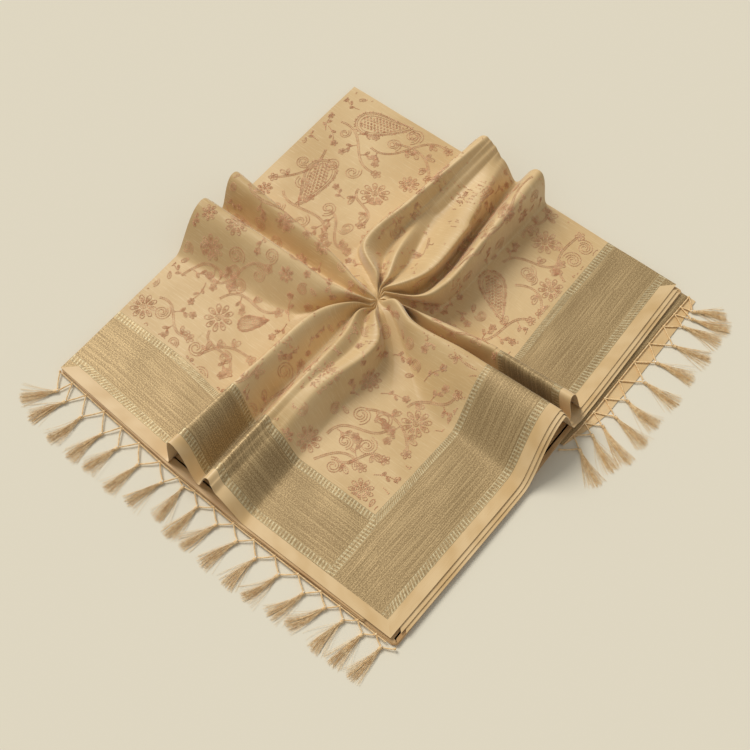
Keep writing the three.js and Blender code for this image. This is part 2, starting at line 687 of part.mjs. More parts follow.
function addPiece(name, geometry, finish) {
  const mesh = new THREE.Mesh(geometry, new THREE.MeshStandardMaterial(finish));
  mesh.name = name;
  sari.add(mesh);
}

addPiece('silk_field', silkField(), silk);
addPiece('pallu_zari_band', palluBand(), zari);
addPiece('pallu_end_strip', palluEndStrip(), plain);
addPiece('long_border_band', longBorderBand(), zari);
addPiece('border_edge_strip', borderEdgeStrip(), plain);
borderFolds.forEach((fold, index) => addPiece(fold.name, lowerBorderFold(fold, index + 1), plain));
addPiece('folded_layers', foldedStack(), silk);
addPiece('inner_end_zari', innerEndLayer(innerZariEdge, innerZariBase), zari);
addPiece('inner_end_plain', innerEndLayer(innerPlainEdge, innerPlainBase), plain);
addPiece('pallu_fringe', fringe(palluStripLine, 0, palluStripHeight, palluTassels), thread);
addPiece('inner_end_fringe', fringe(innerStripLine, 1, innerStripHeight, innerTassels), thread);

export default sari;
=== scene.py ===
"""Silk sari folded into a packet and gathered at its middle: cloth, embroidery and fringes.

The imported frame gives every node's place. Each stretch of cloth is a thin shell on the same fold
lines as its solid, the embroidery is chain stitch laid on the cloth, and the fringes are twisted
cords and loose thread. Lengths are millimetres in the tables and metres in the meshes.
"""
import logging
import math
from abc import ABC, abstractmethod
from collections.abc import Callable, Iterator, Sequence
from contextlib import contextmanager
from dataclasses import dataclass, field
from enum import Enum

import bmesh
import bpy
import numpy as np
from mathutils import Matrix, Vector
from mathutils.bvhtree import BVHTree


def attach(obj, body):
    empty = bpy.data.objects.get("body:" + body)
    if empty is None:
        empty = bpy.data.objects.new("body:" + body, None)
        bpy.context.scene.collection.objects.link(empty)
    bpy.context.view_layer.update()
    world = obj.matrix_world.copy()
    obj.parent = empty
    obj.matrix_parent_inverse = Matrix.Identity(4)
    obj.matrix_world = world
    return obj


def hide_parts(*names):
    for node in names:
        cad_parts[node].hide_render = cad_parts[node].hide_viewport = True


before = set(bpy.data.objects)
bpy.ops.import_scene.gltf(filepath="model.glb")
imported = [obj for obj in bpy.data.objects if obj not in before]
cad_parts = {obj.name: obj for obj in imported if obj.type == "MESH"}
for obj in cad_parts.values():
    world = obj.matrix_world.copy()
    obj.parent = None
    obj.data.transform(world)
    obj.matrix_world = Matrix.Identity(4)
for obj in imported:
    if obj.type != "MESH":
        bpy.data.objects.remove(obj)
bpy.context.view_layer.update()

LOG = logging.getLogger("sari")
MM = 0.001
BODY = "root"
Place = tuple[float, float]
Point = tuple[float, float, float]
Colour = tuple[float, float, float]
Grid = tuple[np.ndarray, dict[str, np.ndarray]]

# ------------------------------------------------------------------ sizes of the folded cloth
FLAT_HEIGHT = 9.0            # outer face of the top sheet where it lies flat
STRIP_DEPTH = 14.0           # plain strip outside the zari
BAND_DEPTH = 98.0            # strip and zari together
ZARI_DEPTH = BAND_DEPTH - STRIP_DEPTH
LAYER_PITCH = 1.5            # one fold of the packet
MIDDLE, SHOULDER, NECK, THROAT = 170.0, 225.0, 258.0, 282.0    # depths in from the edge
PLACES = (0.0, BAND_DEPTH, MIDDLE, SHOULDER, NECK, THROAT)
FLANK_COLUMNS = 14           # mesh columns between two fold lines of a ridge
PANEL_COLUMNS = 16           # and across a flat corner panel
SHELL = 0.6                  # thickness of the folds below and of the inner end
THROAT_CENTRE = (-15.0, 25.0)
THROAT_LONG = 15.0
THROAT_SHORT = 7.5
THROAT_TILT = math.radians(113)
THROAT_SWIRL = math.radians(14)
THROAT_CREST = 30.0
THROAT_VALLEY = 26.0
THROAT_FLOOR = 22.0


class Kind(Enum):
    """What the cloth does at a fold line."""

    CORNER = "corner"
    CREST = "crest"
    VALLEY = "valley"


class Side(Enum):
    """A side of the packet, with the direction in from its edge."""

    BORDER = (-1.0, 0.0)
    FAR = (0.0, -1.0)
    LEFT = (1.0, 0.0)
    PALLU = (0.0, 1.0)


class Slot(Enum):
    """Material slots of the record."""

    SILK = "embroidered_silk"
    ZARI = "zari"
    PLAIN = "plain_silk"
    FOLDED = "folded_silk"
    THREAD = "fringe_thread"
    STITCH = "embroidery_thread"
    BEAD = "bead"


@dataclass(frozen=True)
class FoldLine:
    """One fold line of the top sheet, with the points it passes on its way to the gather."""

    name: str
    side: Side
    kind: Kind
    edge: Point
    middle: Point
    shoulder: Point
    neck: Point

    def band(self) -> Point:
        """The point where the zari ends, straight in from the edge."""
        if self.kind is Kind.CORNER:
            x = math.copysign(BAND_DEPTH, self.edge[0])
            y = math.copysign(BAND_DEPTH, self.edge[1])
            return (self.edge[0] - x, self.edge[1] - y, self.edge[2])
        in_x, in_y = self.side.value
        run = (self.middle[0] - self.edge[0]) * in_x + (self.middle[1] - self.edge[1]) * in_y
        part = BAND_DEPTH / run
        return tuple(a + (b - a) * part for a, b in zip(self.edge, self.middle))


def fold_lines(side: Side, *rows: tuple) -> list[FoldLine]:
    """Fold lines of one side from rows of name, kind, edge, middle, shoulder and neck."""
    return [FoldLine(name, side, kind, *places) for name, kind, *places in rows]


CORNER, CREST, VALLEY = Kind.CORNER, Kind.CREST, Kind.VALLEY
# anticlockwise from the corner of pallu and long border
FOLD_LINES = (
    *fold_lines(
        Side.BORDER,
        ("pallu_border_corner", CORNER, (246, -283, 9), (92, -95, 9), (40, -15, 13), (6, 12, 26)),
        ("border_ridge_foot", VALLEY, (251, -62, 9), (110, -52, 9), (50, -8, 16), (9, 17, 28)),
        ("border_ridge", CREST, (242, 20, 55), (110, 19, 50), (42, 14, 49), (8, 27, 45)),
        ("border_trough", VALLEY, (251, 36, 20), (112, 33, 16), (46, 28, 20), (14, 35, 20)),
        ("border_roll", CREST, (243, 44, 56), (129, 43, 49), (54, 33, 43), (27, 30, 43)),
        ("border_roll_foot", VALLEY, (250, 64, 9), (110, 63, 9), (52, 54, 12), (36, 44, 14)),
    ),
    *fold_lines(
        Side.FAR,
        ("border_far_corner", CORNER, (246, 272, 9), (92, 110, 9), (56, 72, 11), (36, 55, 14)),
        ("far_roll_foot", VALLEY, (57, 273, 9), (53, 150, 9), (50, 88, 11), (36, 64, 15)),
        ("far_roll", CREST, (38, 274, 60), (44, 152, 58), (43, 75, 52), (26, 46, 46)),
        ("far_trough", VALLEY, (8, 274, 14), (16, 165, 17), (20, 98, 16), (13, 62, 16)),
        ("petal_rim", CREST, (-15, 273, 43), (14, 150, 46), (14, 78, 46), (-5, 47, 40)),
        ("petal_hollow", VALLEY, (-22, 274, 49), (-32, 150, 26), (-18, 86, 24), (-16, 58, 29)),
        ("inner_petal", CREST, (-29, 275, 55), (-44, 143, 30), (-31, 81, 41), (-20, 50, 38)),
        ("inner_hollow", VALLEY, (-36, 275, 60), (-50, 138, 31), (-48, 82, 22), (-32, 53, 27)),
        ("far_ridge", CREST, (-43, 275, 63), (-60, 148, 53), (-67, 65, 44), (-31, 44, 42)),
        ("far_ridge_foot", VALLEY, (-72, 273, 9), (-80, 150, 9), (-84, 72, 10), (-42, 42, 24)),
    ),
    *fold_lines(
        Side.LEFT,
        ("far_corner", CORNER, (-250, 272, 9), (-120, 110, 9), (-84, 62, 10), (-44, 37, 24)),
        ("left_roll_foot", VALLEY, (-250, 66, 9), (-110, 46, 9), (-72, 40, 12), (-42, 31, 26)),
        ("left_roll", CREST, (-249, 38, 63), (-115, 34, 47), (-68, 27, 42), (-36, 20, 38)),
        ("left_trough", VALLEY, (-251, 12, 16), (-112, 14, 18), (-72, 12, 22), (-35, 15, 26)),
        ("left_ridge", CREST, (-249, -18, 68), (-110, -7, 53), (-62, -3, 46), (-31, 6, 42)),
        ("left_ridge_foot", VALLEY, (-251, -72, 9), (-115, -54, 9), (-78, -40, 10), (-38, 2, 24)),
    ),
    *fold_lines(
        Side.PALLU,
        ("pallu_far_corner", CORNER,
         (-250, -268, 9), (-110, -110, 9), (-74, -42, 11), (-34, 0, 25)),
        ("pallu_ridge_foot", VALLEY, (-72, -279, 9), (-66, -130, 9), (-62, -38, 12), (-31, -3, 26)),
        ("pallu_ridge", CREST, (-67, -272, 51), (-58, -134, 52), (-49, -36, 46), (-27, -3, 42)),
        ("pallu_trough", VALLEY, (-26, -279, 11), (-28, -120, 16), (-25, -44, 20), (-22, -5, 28)),
        ("pallu_roll", CREST, (-12, -275, 39), (-9, -121, 44), (-8, -42, 46), (-16, -7, 41)),
        ("roll_hollow", VALLEY, (-4, -278, 35), (0, -117, 41), (7, -37, 36), (-9, -3, 31)),
        ("roll_lip", CREST, (4, -280, 28), (12, -111, 42), (26, -27, 43), (-1, 2, 40)),
        ("pallu_roll_foot", VALLEY, (45, -283, 9), (38, -120, 9), (34, -24, 14), (5, 6, 28)),
    ),
)
LINE_COUNT = len(FOLD_LINES)
LINE_NAMES = [line.name for line in FOLD_LINES]
PALLU_BORDER_TURN = LINE_NAMES.index("pallu_border_corner")
BORDER_FAR_TURN = LINE_NAMES.index("border_far_corner")
FAR_TURN = LINE_NAMES.index("far_corner")
PALLU_FAR_TURN = LINE_NAMES.index("pallu_far_corner")


# ------------------------------------------------------------------ node trees
class NodeWriter:
    """A short way to write a node tree.

    Args:
        tree: the tree that nodes are added to.
    """

    def __init__(self, tree: bpy.types.NodeTree) -> None:
        self.tree = tree

    def node(self, kind: str, inputs: dict | None = None, **settings: object) -> bpy.types.Node:
        """Adds a node.

        Args:
            kind: the node's Blender class name.
            inputs: values or sockets, by input name or number.
            settings: the node's own properties.

        Returns:
            The new node.
        """
        node = self.tree.nodes.new(kind)
        for key, value in settings.items():
            setattr(node, key, value)
        for key, value in (inputs or {}).items():
            self.put(node.inputs[key], value)
        return node

    def put(self, socket: bpy.types.NodeSocket, value: object) -> None:
        """Links a socket, or sets its value where the value is a plain one."""
        if isinstance(value, bpy.types.NodeSocket):
            self.tree.links.new(value, socket)
        else:
            socket.default_value = value


class Graph(NodeWriter):
    """The nodes of a material.

    Args:
        name: the material's name.
    """

    MIX_INPUTS = (0, 6, 7)    # factor, first and second colour of a Mix node set to colours
    MIX_RESULT = 2

    def __init__(self, name: str) -> None:
        self.material = bpy.data.materials.new(name)
        self.material.use_nodes = True
        super().__init__(self.material.node_tree)
        self.shader = self.tree.nodes["Principled BSDF"]

    def finish(self, inputs: dict[str, object]) -> None:
        """Sets inputs of the shader by name."""
        for key, value in inputs.items():
            self.put(self.shader.inputs[key], opaque(value))

    def uv(self, name: str) -> bpy.types.NodeSocket:
        """The coordinates of a UV map."""
        return self.node("ShaderNodeUVMap", uv_map=name).outputs["UV"]

    def place(self) -> bpy.types.NodeSocket:
        """The object's own coordinates."""
        return self.node("ShaderNodeTexCoord").outputs["Object"]

    def math(self, operation: str, first: object, second: object = 0.0) -> bpy.types.NodeSocket:
        """One Math node's result."""
        return self.node("ShaderNodeMath", {0: first, 1: second}, operation=operation).outputs[0]

    def span(self, value: object, low: float, high: float, to_low: float = 0.0,
             to_high: float = 1.0) -> bpy.types.NodeSocket:
        """Maps a range smoothly onto another, clamped."""
        inputs = {"Value": value, "From Min": low, "From Max": high,
                  "To Min": to_low, "To Max": to_high}
        return self.node("ShaderNodeMapRange", inputs, interpolation_type="SMOOTHSTEP").outputs[0]

    def mix(self, factor: object, first: object, second: object) -> bpy.types.NodeSocket:
        """Mixes two colours."""
        node = self.node("ShaderNodeMix", data_type="RGBA", blend_type="MIX")
        for index, value in zip(self.MIX_INPUTS, (factor, first, second)):
            self.put(node.inputs[index], opaque(value))
        return node.outputs[self.MIX_RESULT]

    def blend(self, value: object, low: float, high: float, first: object, second: object,
              most: float = 1.0) -> bpy.types.NodeSocket:
        """Goes from one colour to at most a share of a second as a value passes a range."""
        return self.mix(self.span(value, low, high, 0.0, most), first, second)

    def noise(self, vector: object, scale: float, detail: float = 2.0) -> bpy.types.NodeSocket:
        """A noise texture's factor."""
        inputs = {"Vector": vector, "Scale": scale, "Detail": detail}
        return self.node("ShaderNodeTexNoise", inputs).outputs["Fac"]

    def weave(self, vector: object, scale: Point, detail: float = 2.0) -> bpy.types.NodeSocket:
        """Noise with its own scale along each axis, for threads that run one way."""
        stretched = self.node("ShaderNodeMapping", {"Vector": vector, "Scale": scale})
        return self.noise(stretched.outputs["Vector"], 1.0, detail)

    def bump(self, height: object, strength: float, distance: float) -> None:
        """Adds a bump to the shader's normal, on top of an earlier one."""
        inputs = {"Height": height, "Strength": strength, "Distance": distance}
        earlier = self.shader.inputs["Normal"].links
        if earlier:
            inputs["Normal"] = earlier[0].from_socket
        self.finish({"Normal": self.node("ShaderNodeBump", inputs).outputs["Normal"]})


def opaque(colour: object) -> object:
    """A colour with full alpha, or the socket as it is."""
    return (*colour, 1.0) if isinstance(colour, tuple) and len(colour) == 3 else colour


def linear(code: str) -> Colour:
    """A linear colour from an sRGB hex code."""
    values = [int(code[i:i + 2], 16) / 255 for i in (0, 2, 4)]
    return tuple(v / 12.92 if v <= 0.04045 else ((v + 0.055) / 1.055) ** 2.4 for v in values)


# ------------------------------------------------------------------ finishes
@dataclass(frozen=True)
class Finish(ABC):
    """A procedural material, described by its colours, thread scales and reliefs in metres."""

    name: str

    def material(self) -> bpy.types.Material:
        """Builds the material."""
        graph = Graph(self.name)
        self.shade(graph)
        return graph.material

    @abstractmethod
    def shade(self, graph: Graph) -> None:
        """Writes the material's nodes."""


@dataclass(frozen=True)
class SilkFinish(Finish):
    """Fine silk with a crosswise slub. Its pattern follows the cloth's own coordinates."""

    name: str = "peach gold silk"
    light: Colour = linear("dbbd8b")
    deep: Colour = linear("caa974")
    slub: Colour = linear("efd9ab")
    roughness: float = 0.46
    roughness_play: float = 0.08
    sheen: float = 0.35
    sheen_roughness: float = 0.4
    patch_scale: float = 9.0
    weft_scale: Point = (50.0, 620.0, 1.0)
    warp_scale: Point = (620.0, 50.0, 1.0)
    weft_relief: float = 0.00025
    warp_relief: float = 0.00018

    def shade(self, graph: Graph) -> None:
        """Patches of two tones, with light weft threads and dark warp threads."""
        cloth = graph.uv("cloth")
        wide = graph.noise(cloth, self.patch_scale, 3.0)
        weft = graph.weave(cloth, self.weft_scale, 3.0)
        warp = graph.weave(cloth, self.warp_scale)
        ground = graph.blend(wide, 0.35, 0.7, self.light, self.deep)
        threads = graph.blend(weft, 0.5, 0.78, ground, self.slub, 0.4)
        dull, bright = self.roughness + self.roughness_play, self.roughness - self.roughness_play
        graph.finish({
            "Base Color": graph.blend(warp, 0.55, 0.8, threads, self.deep, 0.35),
            "Roughness": graph.span(weft, 0.3, 0.8, dull, bright),
            "Sheen Weight": self.sheen,
            "Sheen Roughness": self.sheen_roughness,
        })
        graph.bump(weft, 0.5, self.weft_relief)
        graph.bump(warp, 0.3, self.warp_relief)


@dataclass(frozen=True)
class ZariFinish(Finish):
    """Metallic brocade: speckled gold on an olive ground, with woven dashes along both edges."""

    name: str = "zari brocade"
    ground: Colour = linear("8b7249")
    gold: Colour = linear("cbb080")
    dash: Colour = linear("dccfa6")
    roughness: float = 0.5
    metallic: Place = (0.25, 0.45)
    sheen: float = 0.15
    grain_scale: Point = (700.0, 1100.0, 1.0)
    line_scale: Point = (10.0, 820.0, 1.0)
    cross_scale: Point = (650.0, 22.0, 1.0)
    grain_relief: float = 0.0002
    line_relief: float = 0.0003
    dash_pitch: float = 4.4
    dash_width: float = 0.42
    dash_lean: float = 1.2
    dash_wobble: float = 1.6
    wobble_scale: float = 130.0
    rail_start: float = 0.42
    rail_share: float = 0.55
    dash_rows: tuple[Place, ...] = ((STRIP_DEPTH + 0.5, 8.5), (88.5, 9.0))

    def shade(self, graph: Graph) -> None:
        """A speckle of gold, darker and brighter weft lines, a warp rib, and the dashes."""
        band = graph.uv("band")
        parts = graph.node("ShaderNodeSeparateXYZ", {0: band})
        grain = graph.weave(band, self.grain_scale)
        lines = graph.weave(band, self.line_scale)
        cross = graph.weave(band, self.cross_scale)
        speckle = graph.span(grain, 0.42, 0.66)
        woven = graph.mix(speckle, self.ground, self.gold)
        woven = graph.blend(lines, 0.5, 0.64, woven, self.gold, 0.5)
        woven = graph.blend(lines, 0.48, 0.36, woven, self.ground, 0.5)
        woven = graph.blend(cross, 0.55, 0.8, woven, self.ground, 0.4)
        dashes = self._dashes(graph, parts.outputs[0], parts.outputs[1])
        graph.finish({
            "Base Color": graph.mix(dashes, woven, self.dash),
            "Metallic": graph.span(speckle, 0.0, 1.0, *self.metallic),
            "Roughness": self.roughness,
            "Sheen Weight": self.sheen,
        })
        graph.bump(grain, 0.25, self.grain_relief)
        graph.bump(lines, 0.45, self.line_relief)
        graph.bump(dashes, 0.6, self.line_relief)

    def _dashes(self, graph: Graph, along: object, depth: object) -> bpy.types.NodeSocket:
        """The ladder of dashes along each edge of the band, as a mask."""
        calc = graph.math
        place = graph.node("ShaderNodeCombineXYZ", {0: along, 1: depth}).outputs[0]
        wobble = graph.noise(place, self.wobble_scale, 1.0)
        total: object = 0.0
        for start, width in self.dash_rows:
            across = calc("DIVIDE", calc("SUBTRACT", depth, start * MM), width * MM)
            past_start = calc("GREATER_THAN", across, 0.0)
            before_end = calc("LESS_THAN", across, 1.0)
            lean = calc("ADD", along, calc("MULTIPLY", across, self.dash_lean * MM))
            lean = calc("ADD", lean, calc("MULTIPLY", wobble, self.dash_wobble * MM))
            phase = calc("FRACT", calc("DIVIDE", lean, self.dash_pitch * MM))
            rung = calc("LESS_THAN", phase, self.dash_width)
            off_middle = calc("ABSOLUTE", calc("SUBTRACT", across, 0.5))
            rail = calc("GREATER_THAN", off_middle, self.rail_start)
            rail = calc("MULTIPLY", rail, self.rail_share)
            shape = calc("MAXIMUM", rung, rail)
            shape = calc("MULTIPLY", shape, calc("MULTIPLY", past_start, before_end))
            shape = calc("MULTIPLY", shape, graph.span(off_middle, 0.0, 0.2, self.rail_share, 1.0))
            total = calc("ADD", total, shape)
        return calc("MULTIPLY", total, graph.span(wobble, 0.3, 0.6, 0.25, 0.7))


@dataclass(frozen=True)
class PlainFinish(Finish):
    """Plain satin-faced silk of the end strips and folded edges."""

    light: Colour
    deep: Colour
    roughness: float = 0.44
    sheen: float = 0.3
    patch_scale: float = 22.0
    weft_scale: Point = (30.0, 1300.0, 1.0)
    weft_relief: float = 0.0002

    def shade(self, graph: Graph) -> None:
        """Patches of two tones with darker weft threads."""
        band = graph.uv("band")
        weft = graph.weave(band, self.weft_scale)
        patches = graph.noise(band, self.patch_scale)
        ground = graph.blend(patches, 0.35, 0.7, self.light, self.deep)
        graph.finish({
            "Base Color": graph.blend(weft, 0.5, 0.8, ground, self.deep, 0.4),
            "Roughness": self.roughness,
            "Sheen Weight": self.sheen,
        })
        graph.bump(weft, 0.35, self.weft_relief)


@dataclass(frozen=True)
class ThreadFinish(Finish):
    """Silk thread, a little darker along some of its strands."""

    light: Colour
    deep: Colour
    roughness: float = 0.5
    scale: float = 260.0
    sheen: float = 0.3

    def shade(self, graph: Graph) -> None:
        """Patches of two tones."""
        patches = graph.noise(graph.place(), self.scale, 3.0)
        graph.finish({
            "Base Color": graph.blend(patches, 0.35, 0.65, self.light, self.deep),
            "Roughness": self.roughness,
            "Sheen Weight": self.sheen,
        })


@dataclass(frozen=True)
class BeadFinish(Finish):
    """Small pearl bead."""

    name: str = "pearl bead"
    light: Colour = linear("efe8da")
    deep: Colour = linear("c9bca4")
    roughness: float = 0.2
    coat: float = 0.5
    scale: float = 90.0

    def shade(self, graph: Graph) -> None:
        """Patches of two tones under a clear coat."""
        patches = graph.noise(graph.place(), self.scale)
        graph.finish({
            "Base Color": graph.blend(patches, 0.4, 0.6, self.light, self.deep),
            "Roughness": self.roughness,
            "Coat Weight": self.coat,
        })


@dataclass(frozen=True)
class FloorFinish(Finish):
    """Pale matt studio floor."""

    name: str = "studio floor"
    colour: Colour = linear("e4decc")
    roughness: float = 0.9
    gloss: float = 0.1

    def shade(self, graph: Graph) -> None:
        """One even tone."""
        graph.finish({"Base Color": self.colour, "Roughness": self.roughness,
                      "Specular IOR Level": self.gloss})


FINISHES = {
    Slot.SILK: SilkFinish(),
    Slot.ZARI: ZariFinish(),
    Slot.PLAIN: PlainFinish("plain peach silk", linear("e0c291"), linear("d0ad76")),
    Slot.FOLDED: PlainFinish("folded silk", linear("d5b17c"), linear("b98f5a")),
    Slot.THREAD: ThreadFinish("fringe thread", linear("fce0ae"), linear("eac48a")),
    Slot.STITCH: ThreadFinish("embroidery thread", linear("fbcb9d"), linear("d99a6c"), 0.65, 140.0),
    Slot.BEAD: BeadFinish(),
}


class Wardrobe:
    """Makes each finish once and dresses pieces with it."""

    def __init__(self) -> None:
        self.made: dict[Slot, bpy.types.Material] = {}

    def material(self, slot: Slot) -> bpy.types.Material:
        """The material of a slot, made on first use."""
        if slot not in self.made:
            self.made[slot] = FINISHES[slot].material()
        return self.made[slot]

    def dress(self, piece: bpy.types.Object, slot: Slot, nodes: Sequence[str] = ()) -> None:
        """Gives a piece its finish and its body.

        Args:
            piece: the object to dress.
            slot: the record's slot that it belongs to.
            nodes: CAD nodes that it stands for.
        """
        piece.data.materials.clear()
        piece.data.materials.append(self.material(slot))
        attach(piece, BODY)
        if nodes:
            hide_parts(*nodes)
        LOG.info("%s: %d faces", piece.name, len(piece.data.polygons))


# ------------------------------------------------------------------ meshes
def object_from(name: str, mesh: bpy.types.Mesh) -> bpy.types.Object:
    """Puts a mesh into the scene as an object at the origin."""
    made = bpy.data.objects.new(name, mesh)
    bpy.context.collection.objects.link(made)
    return made


def evaluated_mesh(source: bpy.types.Object) -> bpy.types.Mesh:
    """The mesh that an object's modifiers give."""
    graph = bpy.context.evaluated_depsgraph_get()
    return bpy.data.meshes.new_from_object(source.evaluated_get(graph), depsgraph=graph)
@contextmanager
def edited(mesh: bpy.types.Mesh) -> Iterator[bmesh.types.BMesh]:
    """Opens a mesh for editing and writes it back at the end."""
    form = bmesh.new()
    form.from_mesh(mesh)
    yield form
    form.to_mesh(mesh)
    form.free()


@dataclass
class ShellMesh:
    """Grids of the outer face of a cloth, joined and given a thickness below it."""

    JOINED_WITHIN = 0.02
    SHORTEST_EDGE = 0.005
    SHARP_FROM = math.radians(55)

    name: str
    thickness: float = 0.5
    points: list[np.ndarray] = field(default_factory=list)
    maps: dict[str, list[np.ndarray]] = field(default_factory=dict)
    faces: list[np.ndarray] = field(default_factory=list)
    count: int = 0

    def add_grid(self, points: np.ndarray, maps: dict[str, np.ndarray],
                 wraps: bool = False) -> None:
        """Adds a grid of faces.

        Args:
            points: millimetres, columns by rows by three. Columns run anticlockwise, rows inwards.
            maps: for each UV map its coordinates in millimetres, columns by rows by two.
            wraps: whether the last column joins the first.
        """
        columns, rows = points.shape[:2]
        index = self.count + np.arange(columns * rows).reshape(columns, rows)
        after = np.roll(index, -1, 0) if wraps else index[1:]
        here = index if wraps else index[:-1]
        quads = np.stack([here[:, :-1], after[:, :-1], after[:, 1:], here[:, 1:]], -1)
        self.faces.append(quads.reshape(-1, 4))
        self.points.append(points.reshape(-1, 3))
        for key, values in maps.items():
            self.maps.setdefault(key, []).append(values.reshape(-1, 2))
        self.count += columns * rows

    def build(self) -> bpy.types.Object:
        """Makes the closed shell as an object."""
        mesh = bpy.data.meshes.new(self.name)
        points = np.concatenate(self.points) * MM
        mesh.from_pydata(points.tolist(), [], np.concatenate(self.faces).tolist())
        loops = np.empty(len(mesh.loops), dtype=np.int32)
        mesh.loops.foreach_get("vertex_index", loops)
        for key, values in self.maps.items():
            places = (np.concatenate(values)[loops] * MM).astype(np.float32)
            mesh.uv_layers.new(name=key).data.foreach_set("uv", places.ravel())
        with edited(mesh) as joined:
            bmesh.ops.remove_doubles(joined, verts=joined.verts, dist=self.JOINED_WITHIN * MM)
            bmesh.ops.dissolve_degenerate(joined, edges=joined.edges, dist=self.SHORTEST_EDGE * MM)
        mesh.shade_smooth()
        source = object_from(self.name + "_sheet", mesh)
        solid = source.modifiers.new("thickness", "SOLIDIFY")
        solid.thickness = self.thickness * MM
        solid.offset = -1.0
        shell = evaluated_mesh(source)
        bpy.data.objects.remove(source)
        bpy.data.meshes.remove(mesh)
        shell.name = self.name + "_cloth"
        shell.set_sharp_from_angle(angle=self.SHARP_FROM)
        return object_from(shell.name, shell)


# ------------------------------------------------------------------ the gathered top sheet
def unit(vectors: np.ndarray) -> np.ndarray:
    """Vectors of length one along the last axis."""
    return vectors / np.maximum(np.linalg.norm(vectors, axis=-1, keepdims=True), 1e-9)


def sideways(forward: np.ndarray) -> np.ndarray:
    """The level direction to the left of a heading."""
    return unit(np.cross([0.0, 0.0, 1.0], forward))


def run_of(points: np.ndarray) -> np.ndarray:
    """The length travelled along a line at each of its points."""
    return np.concatenate([[0.0], np.cumsum(np.linalg.norm(np.diff(points, axis=0), axis=1))])


def resampled(values: np.ndarray, run: np.ndarray, places: np.ndarray) -> np.ndarray:
    """A line's values at other lengths travelled along it."""
    return np.stack([np.interp(places, run, column) for column in values.T], -1)


def cubic(start: np.ndarray, leaving: np.ndarray, end: np.ndarray, arriving: np.ndarray,
          t: np.ndarray) -> np.ndarray:
    """A cubic curve from one point and direction to another."""
    return (start * (2 * t**3 - 3 * t**2 + 1) + leaving * (t**3 - 2 * t**2 + t)
            + end * (3 * t**2 - 2 * t**3) + arriving * (t**3 - t**2))


